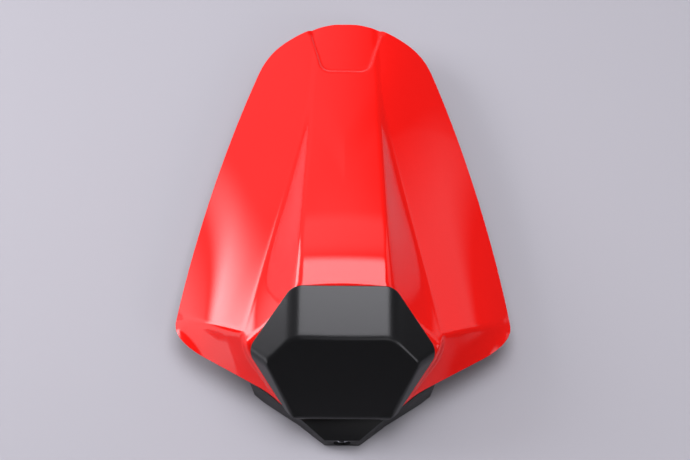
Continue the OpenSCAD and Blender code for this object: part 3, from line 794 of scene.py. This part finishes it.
@dataclass
class CowlShell:
    """The painted shell with its rolled rim and the screw bosses inside it."""

    surface: CowlSurface
    fixings: FixingPlan
    row_count: int = 190
    cell_counts: tuple[int, int, int, int] = (18, 14, 20, 22)
    row_crowding: float = 0.14
    row_start: float = 0.03
    cell_crowding: float = 0.6
    ridge_most: float = 0.7
    valley_least: float = 0.15
    valley_most: float = 0.93
    shoulder_least: float = 0.4
    rim_round: float = 0.8
    boss_d: float = 9
    boss_edge: float = 0.3
    boss_flare: tuple[tuple[float, float], ...] = ((0, 4.5), (0.3, 3), (1.2, 1.6), (1.2, 0))
    boss_count: int = 32
    pilot_d: float = 4.2
    pilot_depth: float = 18
    land_z: float = 9

    def rows(self, inset: float) -> Array:
        """Gives the places of the rows, crowded at the tail where the outline closes.

        Args:
            inset: How far inwards the skin is moved.

        Returns:
            Places along, from the chin to the tail.
        """
        f = self.surface
        v = (self.row_count - np.arange(self.row_count + 1)) / self.row_count
        share = v * (v + self.row_start) / (v + self.row_crowding)
        share *= (1 + self.row_crowding) / (1 + self.row_start)
        y = f.tail_y - inset - (f.tail_y - f.chin_y - 2 * inset) * share
        y[0] = f.chin_y + inset
        return y

    def half_row(self, y: Array, half: Array) -> Array:
        """Gives places from the middle to the rim, crowded at ridge, valley and shoulder.

        Args:
            y: Places of the rows.
            half: Half width of each row.

        Returns:
            One row of places for each y.
        """
        f = self.surface
        # The first stop follows the ridge, and behind it the edge of the tail recess.
        between = f.apex_half + (f.recess_front_half - f.apex_half) * (y - f.apex_y) / (f.recess_y - f.apex_y)
        behind = np.where(y > f.recess_y, f.recess_half(y), between)
        inner = np.where(y < f.apex_y, f.ridge_x(y), behind)
        ridge = np.minimum(inner, self.ridge_most * half)
        foot = np.minimum(f.valley_x(y), f.wall_half(y))
        nearest = ridge + self.valley_least * (half - ridge)
        valley = np.minimum(np.maximum(foot, nearest), self.valley_most * half)
        shoulder = np.maximum(half - f.skirt_w, valley + self.shoulder_least * (half - valley))
        stops = [np.zeros_like(y), ridge, valley, shoulder, half]
        parts = []
        for k, count in enumerate(self.cell_counts):
            t = np.arange(count) / count
            t = t - self.cell_crowding * np.sin(2 * math.pi * t) / (2 * math.pi)
            parts.append(stops[k][:, None] + (stops[k + 1] - stops[k])[:, None] * t[None, :])
        return np.hstack(parts + [half[:, None]])

    def skin(self, inset: float) -> Array:
        """Gives the grid of points of the outer skin, or of the inner one.

        Args:
            inset: How far inwards the skin is moved.

        Returns:
            Points by row and column.
        """
        y = self.rows(inset)
        row = self.half_row(y, self.surface.half_width(y, inset))
        x = np.hstack([-row[:, :0:-1], row])
        yy = np.repeat(y[:, None], x.shape[1], axis=1)
        return np.stack([x, yy, self.surface.height(x, yy, inset)], axis=2)

    def build(self, material: bpy.types.Material) -> bpy.types.Object:
        """Makes the shell and its bosses, and lets the shell stand for its node.

        Args:
            material: The paint.

        Returns:
            The shell.
        """
        outer, inner = self.skin(0), self.skin(self.surface.wall)
        rows, cols = outer.shape[:2]
        size = rows * cols
        grid = np.arange(size).reshape(rows, cols)
        a, b = grid[:-1, :-1].ravel(), grid[:-1, 1:].ravel()
        c, d = grid[1:, 1:].ravel(), grid[1:, :-1].ravel()
        faces = np.column_stack([a, b, c, d]).tolist()
        faces += (np.column_stack([a, d, c, b]) + size).tolist()
        loop = np.concatenate([grid[0, :-1], grid[:-1, -1], grid[-1, :0:-1], grid[:0:-1, 0]])
        after = np.roll(loop, -1)
        faces += np.column_stack([after, loop, loop + size, after + size]).tolist()
        points = np.vstack([outer.reshape(-1, 3), inner.reshape(-1, 3)])
        shell = make_piece("painted_shell", points, faces, material)
        self.roll_rim(shell, set(map(frozenset, zip(loop.tolist(), after.tolist()))), size)
        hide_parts("cowl_shell")
        self.build_bosses(material)
        return shell

    def roll_rim(self, shell: bpy.types.Object, rim: set[frozenset[int]], size: int) -> None:
        """Rounds the outer and inner edge of the rim.

        Args:
            shell: The shell's object.
            rim: Vertex pairs of the outer rim.
            size: Number of vertices of the outer skin.
        """
        mesh = shell.data
        weights = mesh.attributes.new("bevel_weight_edge", "FLOAT", "EDGE")
        ends = np.empty(len(mesh.edges) * 2, dtype=np.int32)
        mesh.edges.foreach_get("vertices", ends)
        pairs = ends.reshape(-1, 2).tolist()
        values = [float(frozenset((p, q)) in rim or frozenset((p - size, q - size)) in rim) for p, q in pairs]
        weights.data.foreach_set("value", values)
        bevel = shell.modifiers.new("rim", "BEVEL")
        bevel.limit_method = "WEIGHT"
        bevel.width = self.rim_round * MM
        bevel.segments = 3
        apply_modifiers(shell)

    def build_bosses(self, material: bpy.types.Material) -> None:
        """Makes the eight bosses, which end inside the shell's wall.

        Args:
            material: The paint, which also mists the inside.
        """
        top = self.land_z + self.pilot_depth
        all_points: list[Array] = []
        all_faces: list[list[int]] = []
        for x, y in self.fixings.screws(self.surface):
            place = np.array([x, y, 0])
            end = place + [0, 0, float(self.mid_wall(np.array(x), np.array(y)))]
            points, faces = skin_rings(self.boss_rings(place, top), place + [0, 0, top], end)
            base = sum(len(p) for p in all_points)
            all_points.append(points)
            all_faces += [[i + base for i in f] for f in faces]
        make_piece("screw_bosses", np.vstack(all_points), all_faces, material, Shading.BY_ANGLE)

    def mid_wall(self, x: Array, y: Array) -> Array:
        """Gives the height of the middle of the shell's wall."""
        return self.surface.height(x, y, self.surface.wall / 2)

    def boss_rings(self, place: Array, top: float) -> list[Array]:
        """Gives the rings of one boss, from the end of its pilot hole down and up to the shell.

        Args:
            place: The boss's place on the standing plane.
            top: Height of the pilot hole's end.

        Returns:
            The rings in order.
        """
        bore, edge = self.pilot_d / 2, self.boss_edge
        outer = self.boss_d / 2
        profile = [(bore, top), (bore, self.land_z + edge), (bore + edge, self.land_z),
                   (outer - edge, self.land_z), (outer, self.land_z + edge)]
        rings = [circle(radius, z, self.boss_count) + place for radius, z in profile]
        for wider, lower in self.boss_flare:
            ring = circle(outer + wider, 0, self.boss_count) + place
            ring[:, 2] = self.mid_wall(ring[:, 0], ring[:, 1]) - lower
            rings.append(ring)
        return rings


@dataclass(frozen=True)
class Hexagon:
    """A six-sided outline in the seat's plane, alike left and right."""

    low_width: float
    width: float
    top_width: float
    wide_at: float
    length: float

    def corners(self) -> Array:
        """Gives the six corners, anticlockwise from the lower right."""
        right = [(self.low_width / 2, 0), (self.width / 2, self.wide_at), (self.top_width / 2, self.length)]
        return np.array(right + [(-x, y) for x, y in reversed(right)])


@dataclass
class BackrestPad:
    """The six-sided foam pad, with soft edges between its face and its bevels.

    The shares tell how far each ring of points lies from the base's outline to the face's, and then
    from the face's outline to its middle.
    """

    surface: CowlSurface
    top_width: float = 74
    face: Hexagon = Hexagon(low_width=74, width=113, top_width=74, wide_at=49, length=69)
    tape_t: float = 1
    low_t: float = 4
    edge_t: float = 1.2
    least_t: float = 0.7
    face_angle: float = 11.4
    corner_r: float = 14
    edge_round: float = 1.6
    corner_round: float = 5.5
    low_round: float = 2.2
    foot_h: float = 0.4
    foot_share: float = 0.994
    crown: float = 0.7
    crown_mid: float = 38
    crown_reach: tuple[float, float] = (50, 42)
    arc_count: int = 11
    side_count: int = 15
    bevel_shares: tuple[float, ...] = (
        0, 0.01, 0.03, 0.06, 0.1, 0.16, 0.24, 0.34, 0.45, 0.56, 0.66, 0.74, 0.81, 0.87, 0.92, 0.96, 1)
    face_shares: tuple[float, ...] = (
        0.97, 0.94, 0.9, 0.86, 0.81, 0.75, 0.67, 0.58, 0.48, 0.38, 0.28, 0.18, 0.09)

    def __post_init__(self) -> None:
        """Works out the base's outline from the seat that carries the pad."""
        f = self.surface
        self.base = Hexagon(f.pad_low_width, f.pad_width, self.top_width, f.pad_wide_at, f.pad_length)

    def outline(self, shape: Hexagon) -> Array:
        """Gives an outline with rounded corners, with the same count for any shape.

        Args:
            shape: The outline with sharp corners.

        Returns:
            Points in the seat's plane.
        """
        corners = shape.corners()
        points: list[Array] = []
        for k in range(6):
            p, back, ahead = corners[k], corners[k - 1], corners[(k + 1) % 6]
            u, w = (back - p) / np.linalg.norm(back - p), (ahead - p) / np.linalg.norm(ahead - p)
            half = math.acos(float(np.clip(u @ w, -1, 1))) / 2
            reach = self.corner_r / math.tan(half)
            centre = p + (u + w) / np.linalg.norm(u + w) * self.corner_r / math.sin(half)
            first, last = p + u * reach - centre, p + w * reach - centre
            a0 = math.atan2(first[1], first[0])
            sweep = (math.atan2(last[1], last[0]) - a0) % (2 * math.pi)
            for t in np.linspace(0, 1, self.arc_count):
                a = a0 + sweep * t
                points.append(centre + self.corner_r * np.array([math.cos(a), math.sin(a)]))
            # The straight side runs on to where the next corner's arc starts.
            after = corners[(k + 2) % 6]
            v = (after - ahead) / np.linalg.norm(after - ahead)
            half_next = math.acos(float(np.clip(-w @ v, -1, 1))) / 2
            stop = ahead - w * self.corner_r / math.tan(half_next)
            for t in np.linspace(0, 1, self.side_count)[1:-1]:
                points.append((p + w * reach) * (1 - t) + stop * t)
        return np.array(points)

    def top_z(self, at: Array) -> Array:
        """Gives the pad's thickness over the seat.

        Args:
            at: Points in the seat's plane.

        Returns:
            The thickness at each point.
        """
        lean = math.tan(math.radians(self.face_angle))
        base, face = self.base.corners(), self.face.corners()
        planes = []
        for k in range(5):
            p, q = base[k], base[k + 1]
            along = (q - p) / np.linalg.norm(q - p)
            inward = np.array([-along[1], along[0]])
            mid = (face[k] + face[k + 1]) / 2
            steep = (self.low_t + lean * mid[1] - self.edge_t) / float((mid - p) @ inward)
            planes.append(self.edge_t + steep * ((at - p) @ inward))
        bevels = planes[0]
        for plane in planes[1:]:
            bevels = soft_min(bevels, plane, self.corner_round)
        # The face is crowned a little around its middle, and rolls over at its lower edge.
        reach_x, reach_y = self.crown_reach
        away = (at[:, 0] / reach_x) ** 2 + ((at[:, 1] - self.crown_mid) / reach_y) ** 2
        flat = self.low_t + lean * at[:, 1] + self.crown * np.clip(1 - away, 0, 1)
        z = soft_min(flat, bevels, self.edge_round)
        v = np.clip(at[:, 1], 0, self.low_round)
        roll = self.low_round - np.sqrt(self.low_round ** 2 - (self.low_round - v) ** 2)
        return np.maximum(z - roll, self.least_t)

    def on_seat(self, local: Array) -> Array:
        """Moves points from the seat's plane to the frame.

        Args:
            local: Places across and up the seat, and heights over the adhesive.

        Returns:
            The same points in the frame.
        """
        a = math.radians(self.surface.seat_angle)
        v, w = local[:, 1], local[:, 2] + self.tape_t
        return np.column_stack([local[:, 0], self.surface.chin_y + v * math.cos(a) - w * math.sin(a),
                                self.surface.seat_low_z + v * math.sin(a) + w * math.cos(a)])

    def build(self, material: bpy.types.Material) -> bpy.types.Object:
        """Makes the pad and lets it stand for its node.

        Args:
            material: The foam's skin.

        Returns:
            The pad.
        """
        outer, face = self.outline(self.base), self.outline(self.face)
        centre = face.mean(axis=0)
        middle = outer.mean(axis=0)
        foot = middle + (outer - middle) * self.foot_share
        rings = [np.column_stack([foot, np.zeros(len(outer))]),
                 np.column_stack([outer, np.full(len(outer), self.foot_h)])]
        flats = [outer * (1 - t) + face * t for t in self.bevel_shares]
        flats += [centre + (face - centre) * t for t in self.face_shares]
        rings += [np.column_stack([flat, self.top_z(flat)]) for flat in flats]
        start = np.array([middle[0], middle[1], 0.0])
        end = np.array([centre[0], centre[1], float(self.top_z(centre[None, :])[0])])
        points, faces = skin_rings(rings, start, end)
        pad = make_piece("foam_backrest_pad", self.on_seat(points), faces, material)
        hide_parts("backrest_pad")
        return pad


@dataclass
class BaseTray:
    """The black tray with its tongue, with the edges rounded as a mould leaves them."""

    edge_round: float = 0.5
    edge_angle: float = 40
    weld: float = 0.002

    def build(self, material: bpy.types.Material) -> bpy.types.Object:
        """Makes a rounded copy of the tray's node and lets it stand for the node.

        Args:
            material: The moulded plastic.

        Returns:
            The tray.
        """
        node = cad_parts["base_tray"]
        work = bmesh.new()
        work.from_mesh(node.data)
        bmesh.ops.remove_doubles(work, verts=work.verts, dist=self.weld * MM)
        bmesh.ops.dissolve_limit(work, angle_limit=math.radians(1), verts=work.verts, edges=work.edges)
        points = np.array([v.co[:] for v in work.verts]) / MM
        faces = [[v.index for v in f.verts] for f in work.faces]
        work.free()
        tray = make_piece("moulded_tray", points, faces, material)
        bevel = tray.modifiers.new("edges", "BEVEL")
        bevel.limit_method = "ANGLE"
        bevel.angle_limit = math.radians(self.edge_angle)
        bevel.width = self.edge_round * MM
        bevel.segments = 2
        bevel.harden_normals = False
        apply_modifiers(tray)
        tray.data.set_sharp_from_angle(angle=SHARP_ANGLE)
        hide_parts("base_tray")
        return tray


@dataclass
class LipSleeve:
    """The turned steel sleeve in the lip's bolt hole."""

    front_y: float = -173.0
    length: float = 5.5
    axis_z: float = 8.5
    hole_d: float = 6.6
    outer_d: float = 9.9
    chamfer: float = 0.4
    count: int = 64

    def build(self, material: bpy.types.Material) -> bpy.types.Object:
        """Makes the sleeve with a chamfer at each edge.

        Args:
            material: The steel.

        Returns:
            The sleeve.
        """
        count, c = self.count, self.chamfer
        r_in, r_out = self.hole_d / 2, self.outer_d / 2
        profile = [(r_in, c), (r_in + c, 0), (r_out - c, 0), (r_out, c), (r_out, self.length - c),
                   (r_out - c, self.length), (r_in + c, self.length), (r_in, self.length - c)]
        points = np.vstack([circle(r, h, count) for r, h in profile])
        faces = []
        for k in range(len(profile)):
            low, high = k * count, (k + 1) % len(profile) * count
            for i in range(count):
                n = (i + 1) % count
                faces.append([low + i, low + n, high + n, high + i])
        placed = np.column_stack([points[:, 0], self.front_y + points[:, 2], self.axis_z - points[:, 1]])
        sleeve = make_piece("turned_sleeve", placed, faces, material, Shading.BY_ANGLE)
        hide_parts("lip_sleeve")
        return sleeve


@dataclass
class TrayScrews:
    """Eight pan-head screws with a cross recess, which cut their thread in the bosses."""

    places: list[Place]
    seat_z: float = 6
    head_d: float = 7.6
    head_h: float = 2.4
    dome_h: float = 0.5
    core_d: float = 3.1
    thread_d: float = 3.9
    crest_share: float = 0.22
    run_in: float = 1.5
    tip_share: float = 0.25
    pitch: float = 1.6
    length: float = 16
    cross_w: float = 1.1
    cross_l: float = 3.8
    cross_depth: float = 1.3
    cross_edge: float = 0.35
    cross_radii: tuple[float, ...] = (
        0.25, 0.45, 0.6, 0.8, 1.05, 1.3, 1.55, 1.75, 1.9, 2.05, 2.3, 2.7, 3.1, 3.4)
    turn: float = 0.7
    count: int = 32

    def head_rings(self) -> list[Array]:
        """Gives the rings of the head, from the middle of its cross recess to its shank.

        Returns:
            The rings in order, with the head's seat at height 0.
        """
        rings = []
        for r in self.cross_radii:
            ring = circle(r, 0, self.count)
            x, y = np.abs(ring[:, 0]), np.abs(ring[:, 1])
            along, across = np.maximum(x, y), np.minimum(x, y)
            inside = (step_at(self.cross_w / 2 - across, self.cross_edge)
                      * step_at(self.cross_l / 2 - along, self.cross_edge))
            dome = self.dome_h * (r / (self.head_d / 2)) ** 2
            ring[:, 2] = -self.head_h + dome + self.cross_depth * inside
            rings.append(ring)
        edge, core = self.head_d / 2, self.core_d / 2
        side = [(edge - 0.1, -self.head_h + 0.8), (edge, -self.head_h + 1.2), (edge, -0.15), (edge - 0.15, 0),
                (core, 0)]
        return rings + [circle(r, z, self.count) for r, z in side]

    def thread_rings(self) -> list[Array]:
        """Gives the rings of the threaded shank up to its point.

        Returns:
            The rings in order, eight to a turn of the thread.
        """
        turn = np.arange(self.count) / self.count
        core, rise = self.core_d / 2, (self.thread_d - self.core_d) / 2
        rings = []
        for z in np.arange(0.3, self.length - 0.1, self.pitch / 8):
            phase = (z / self.pitch - turn) % 1
            crest = np.clip(1 - np.abs(phase - 0.5) / self.crest_share, 0, 1) * min(1, z / self.run_in)
            taper = min(1.0, (self.length - z) / self.core_d)
            radius = core * (self.tip_share + (1 - self.tip_share) * taper) + rise * crest * taper
            ring = circle(1, z, self.count)
            ring[:, :2] *= radius[:, None]
            rings.append(ring)
        return rings

    def build(self, material: bpy.types.Material) -> list[bpy.types.Object]:
        """Makes the screws, each standing for its node.

        Args:
            material: The steel.

        Returns:
            The eight screws.
        """
        start = np.array([0, 0, -self.head_h + self.cross_depth])
        end = np.array([0, 0, self.length])
        points, faces = skin_rings(self.head_rings() + self.thread_rings(), start, end)
        screws = []
        for k, (x, y) in enumerate(self.places, start=1):
            turned = np.array(Matrix.Rotation(self.turn * k, 3, "Z")) @ points.T
            screw = make_piece(f"pan_head_screw_{k}", turned.T + [x, y, self.seat_z], faces, material,
                               Shading.BY_ANGLE)
            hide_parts(f"tray_screw_{k}")
            screws.append(screw)
        return screws


@dataclass
class Bumpers:
    """Four push-in rubber bumpers that the cowl stands on."""

    places: list[Place]
    disc_d: float = 15
    disc_h: float = 3
    dish_h: float = 0.5
    stem_d: float = 6
    floor_top: float = 6
    barb_h: float = 2
    barb_out: float = 1
    count: int = 48

    def build(self, material: bpy.types.Material) -> None:
        """Makes the bumpers, each standing for its node.

        Args:
            material: The rubber.
        """
        r, stem, barb = self.disc_d / 2, self.stem_d / 2, self.barb_out
        under, end = self.floor_top, self.floor_top + self.barb_h
        dish = [(1.2, self.dish_h), (3.2, self.dish_h - 0.05), (4.4, 0.1), (5, 0), (r - 1, 0)]
        disc = [(r - 0.35, 0.2), (r - 0.05, 0.7), (r, 1.2), (r, self.disc_h - 0.3), (r - 0.3, self.disc_h)]
        neck = [(stem + 0.3, self.disc_h), (stem, self.disc_h + 0.3), (stem, under)]
        hook = [(stem + barb - 0.2, under), (stem + barb, under + 0.25), (stem - barb + 0.2, end - 0.1),
                (stem - barb - 0.3, end)]
        rings = [circle(radius, z, self.count) for radius, z in dish + disc + neck + hook]
        points, faces = skin_rings(rings, np.array([0, 0, self.dish_h]), np.array([0, 0, end]))
        for k, (x, y) in enumerate(self.places, start=1):
            bumper = make_piece(f"push_in_bumper_{k}", points + [x, y, 0], faces, material,
                                Shading.BY_ANGLE)
            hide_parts(f"bumper_{k}")


@dataclass
class FoamStrips:
    """Foam strips under the tray, with soft cut edges."""

    side_x: float = 60
    side_y: float = -1.25
    side_length: float = 90
    rear_y: float = 126.5
    rear_length: float = 45
    width: float = 12
    top_z: float = 3
    thick: float = 2.2
    soft: float = 0.7
    corner_r: float = 1.5
    corner_steps: int = 5
    side_steps: int = 6

    def slabs(self) -> dict[str, tuple[float, float, float, float]]:
        """Gives place, width and length of the strip of each node."""
        return {"foam_strip_left": (-self.side_x, self.side_y, self.width, self.side_length),
                "foam_strip_right": (self.side_x, self.side_y, self.width, self.side_length),
                "foam_strip_rear": (0, self.rear_y, self.rear_length, self.width)}

    def build(self, material: bpy.types.Material) -> None:
        """Makes the strips, each standing for its node.

        Args:
            material: The foam.
        """
        low, top = self.top_z - self.thick, self.top_z
        underside = [(5.5, low), (3, low), (1.2, low)]
        edge = [(self.soft, low + 0.05), (0.25, low + 0.3), (0, low + self.soft)]
        upper = [(0, top - 0.4), (0.2, top - 0.1), (0.4, top)]
        for node, (x, y, wide, long) in self.slabs().items():
            rings = [self.slab_ring(wide / 2 - inset, long / 2 - inset, z) + [x, y, 0]
                     for inset, z in underside + edge + upper]
            points, faces = skin_rings(rings, np.array([x, y, low]), np.array([x, y, top]))
            strip = make_piece(f"cut_{node}", points, faces, material)
            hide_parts(node)

    def slab_ring(self, half_x: float, half_y: float, z: float) -> Array:
        """Gives a level rectangle of points with small round corners.

        Args:
            half_x: Half its width.
            half_y: Half its length.
            z: Its height.

        Returns:
            The points, with more of them along the straight sides.
        """
        r = min(self.corner_r, half_x * 0.9, half_y * 0.9)
        points = []
        for cx, cy, turn in [(1, -1, -90), (1, 1, 0), (-1, 1, 90), (-1, -1, 180)]:
            for t in range(self.corner_steps):
                a = math.radians(turn + t * 90 / (self.corner_steps - 1))
                points.append([cx * (half_x - r) + r * math.cos(a), cy * (half_y - r) + r * math.sin(a), z])
        ring = np.array(points)
        dense = []
        for k in range(len(ring)):
            p, q = ring[k], ring[(k + 1) % len(ring)]
            steps = self.side_steps if (k + 1) % self.corner_steps == 0 else 1
            dense += [p + (q - p) * i / steps for i in range(steps)]
        return np.array(dense)


@dataclass(frozen=True)
class Softbox:
    """A rectangular studio light behind a cloth, which fades towards its edges.

    Angles are in degrees, lengths in metres, and the radiance is what the paint mirrors. The azimuth
    is counted from the tail towards the right, and across and upward move the light in its own plane.
    """

    name: str
    azimuth: float
    elevation: float
    distance: float
    wide: float
    high: float
    radiance: float
    across: float = 0.0
    upward: float = 0.0
    fade: float = 0.25
    colour: str = "#F9F8FF"

    def build(self) -> bpy.types.Object:
        """Makes the light, turned towards the middle of the object's underside.

        Returns:
            The light.
        """
        turn, lift = math.radians(self.azimuth), math.radians(self.elevation)
        out = Vector((math.sin(turn) * math.cos(lift), math.cos(turn) * math.cos(lift), math.sin(lift)))
        right = Vector((math.cos(turn), -math.sin(turn), 0))
        up = right.cross(out)
        lamp = bpy.data.lights.new(self.name, "AREA")
        lamp.shape = "RECTANGLE"
        lamp.size, lamp.size_y = self.wide, self.high
        lamp.energy = self.radiance * math.pi * self.wide * self.high
        lamp.color = linear(self.colour)[:3]
        self.soften(lamp)
        thing = bpy.data.objects.new(self.name, lamp)
        bpy.context.scene.collection.objects.link(thing)
        thing.location = out * self.distance + right * self.across + up * self.upward
        thing.rotation_euler = (-out).to_track_quat("-Z", "Y").to_euler()
        thing.visible_camera = False
        LOG.info("%s: %.1f W", self.name, lamp.energy)
        return thing

    def soften(self, lamp: bpy.types.Light) -> None:
        """Lets the light fall off to nothing over the share fade of its width and height.

        Args:
            lamp: The light.
        """
        lamp.use_nodes = True
        tree = lamp.node_tree
        tree.nodes.clear()
        place = add_node(tree, "ShaderNodeNewGeometry").outputs["Parametric"]
        sides = add_node(tree, "ShaderNodeSeparateXYZ", {"Vector": place})
        falls = []
        for side in ("X", "Y"):
            along = sides.outputs[side]
            far = add_node(tree, "ShaderNodeMath", {0: 1.0, 1: along}, operation="SUBTRACT")
            near = add_node(tree, "ShaderNodeMath", {0: along, 1: far.outputs[0]}, operation="MINIMUM")
            edge = add_node(tree, "ShaderNodeMapRange", {"Value": near.outputs[0], "From Max": self.fade},
                            interpolation_type="SMOOTHSTEP")
            falls.append(edge.outputs[0])
        strength = add_node(tree, "ShaderNodeMath", {0: falls[0], 1: falls[1]}, operation="MULTIPLY")
        glow = add_node(tree, "ShaderNodeEmission", {"Strength": strength.outputs[0]})
        add_node(tree, "ShaderNodeOutputLight", {"Surface": glow.outputs[0]})


@dataclass
class Studio:
    """Camera, floor, world and lights."""

    lens: float = 88.5
    sensor: float = 36
    distance: float = 1.357
    elevation: float = 67.2
    roll: float = 0.54
    target: tuple[float, float, float] = (0.0008, 0.0035, 0.0)
    floor_colour: str = "#B0AEB3"
    floor_roughness: float = 0.6
    floor_gloss: float = 0.3
    floor_reach: float = 6.0
    world_colour: str = "#F9F8FF"
    room_strength: float = 0.1
    wall_strength: float = 0.7
    wall_towards: tuple[float, float, float] = (-0.5, 0.62, 0.6)
    wall_from: float = 0.6
    wall_full: float = 1.0
    backdrop_strength: float = 0.6

    def camera(self) -> bpy.types.Object:
        """Makes the camera at the photograph's viewing angle.

        Returns:
            The camera.
        """
        data = bpy.data.cameras.new("camera")
        data.lens = self.lens
        data.sensor_width = self.sensor
        data.sensor_fit = "HORIZONTAL"
        camera = bpy.data.objects.new("camera", data)
        bpy.context.scene.collection.objects.link(camera)
        tilt = math.radians(self.elevation)
        away = Vector((0, -math.cos(tilt), math.sin(tilt)))
        camera.location = Vector(self.target) + away * self.distance
        level = away.to_track_quat("Z", "Y").to_matrix().to_4x4()
        turn = level @ Matrix.Rotation(math.radians(self.roll), 4, "Z")
        camera.rotation_euler = turn.to_euler()
        bpy.context.scene.camera = camera
        return camera

    def floor(self) -> bpy.types.Object:
        """Makes the plain pale floor.

        Returns:
            The floor, which is only a stage.
        """
        material, tree = blank_material("painted_pale_floor")
        shader = add_node(tree, "ShaderNodeBsdfPrincipled", {
            "Base Color": linear(self.floor_colour), "Roughness": self.floor_roughness, "IOR": 1.5,
            "Specular IOR Level": self.floor_gloss})
        add_node(tree, "ShaderNodeOutputMaterial", {"Surface": shader.outputs[0]})
        mesh = bpy.data.meshes.new("floor")
        reach = self.floor_reach
        corners = [(-reach, -reach, 0), (reach, -reach, 0), (reach, reach, 0), (-reach, reach, 0)]
        mesh.from_pydata(corners, [], [(0, 1, 2, 3)])
        mesh.materials.append(material)
        floor = bpy.data.objects.new("floor", mesh)
        bpy.context.scene.collection.objects.link(floor)
        return floor

    def world(self) -> None:
        """Makes the dim light from all round, with the paler wall that the paint mirrors."""
        world = bpy.data.worlds.new("studio")
        world.use_nodes = True
        tree = world.node_tree
        tree.nodes.clear()
        # The room is dim, and paler towards the wall behind the tail and to its left.
        towards = add_node(tree, "ShaderNodeTexCoord").outputs["Generated"]
        wall = add_node(tree, "ShaderNodeVectorMath", {0: towards, 1: self.wall_towards},
                        operation="DOT_PRODUCT")
        level = add_node(tree, "ShaderNodeMapRange", {
            "Value": wall.outputs["Value"], "From Min": self.wall_from, "From Max": self.wall_full,
            "To Min": self.room_strength, "To Max": self.wall_strength}, interpolation_type="SMOOTHSTEP")
        # The camera alone sees a paler backdrop, so that side views stay bright without more light.
        seen = add_node(tree, "ShaderNodeLightPath").outputs["Is Camera Ray"]
        strength = add_node(tree, "ShaderNodeMix", {
            "Factor": seen, 2: level.outputs[0], 3: self.backdrop_strength}, data_type="FLOAT")
        sky = add_node(tree, "ShaderNodeBackground", {
            "Color": linear(self.world_colour), "Strength": strength.outputs[0]})
        add_node(tree, "ShaderNodeOutputWorld", {"Surface": sky.outputs[0]})
        bpy.context.scene.world = world

    def lights(self) -> None:
        """Makes the softboxes that the gloss paint mirrors."""
        boxes = [
            Softbox("overhead", azimuth=0, elevation=84, distance=1.55, wide=1.15, high=1.15, radiance=5.7,
                    across=0.1, fade=0.14),
            Softbox("rear_header", azimuth=0, elevation=51, distance=1.5, wide=1.5, high=0.95, radiance=0.65,
                    fade=0.35),
            Softbox("back_left", azimuth=-52, elevation=28, distance=1.3, wide=0.9, high=0.76, radiance=8.8,
                    across=-0.41, upward=0.06, fade=0.24),
            Softbox("back_right", azimuth=50, elevation=28, distance=1.3, wide=1.1, high=0.8, radiance=0.75,
                    across=0.38, upward=0.12, fade=0.2),
            Softbox("front_fill", azimuth=165, elevation=52, distance=1.7, wide=0.8, high=0.6, radiance=1.2),
            Softbox("right_fill", azimuth=130, elevation=33, distance=1.5, wide=1.1, high=0.7, radiance=2.6,
                    fade=0.35),
            Softbox("left_glow", azimuth=-98, elevation=2, distance=1.4, wide=2.4, high=0.9, radiance=1.7,
                    fade=0.16),
        ]
        for box in boxes:
            box.build()

    def build(self) -> None:
        """Makes everything around the object."""
        self.camera()
        self.floor()
        self.world()
        self.lights()
        bpy.context.scene.view_settings.view_transform = "Standard"


def dress_node(name: str, material: bpy.types.Material) -> None:
    """Gives a carried-over node its finish.

    Args:
        name: The node.
        material: The finish.
    """
    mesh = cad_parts[name].data
    mesh.materials.clear()
    mesh.materials.append(material)


def main() -> None:
    """Builds the studio and every piece of the cowl in order."""
    logging.basicConfig(level=logging.INFO, format="%(name)s %(message)s")
    Studio().build()
    surface = CowlSurface()
    fixings = FixingPlan()
    CowlShell(surface, fixings).build(LacqueredPaint().material())
    BackrestPad(surface).build(SkinnedFoam().material())
    BaseTray().build(MouldedPlastic().material())
    LipSleeve().build(ZincedSteel("turned_zinced_steel", roughness=0.22).material())
    TrayScrews(fixings.screws(surface)).build(ZincedSteel("rolled_zinced_steel").material())
    Bumpers(fixings.bumpers(surface)).build(MouldedRubber().material())
    # The second colour of each foam is painted shade for the pits of its cells.
    FoamStrips().build(FoamSheet("cut_dark_polyethylene_foam", "#38393B", "#222224").material())
    tape = FoamSheet("white_acrylic_foam_tape", "#E4E3DE", "#CFCEC8", cell_mm=1.5)
    dress_node("pad_adhesive", tape.material())


if __name__ == "__main__":
    main()
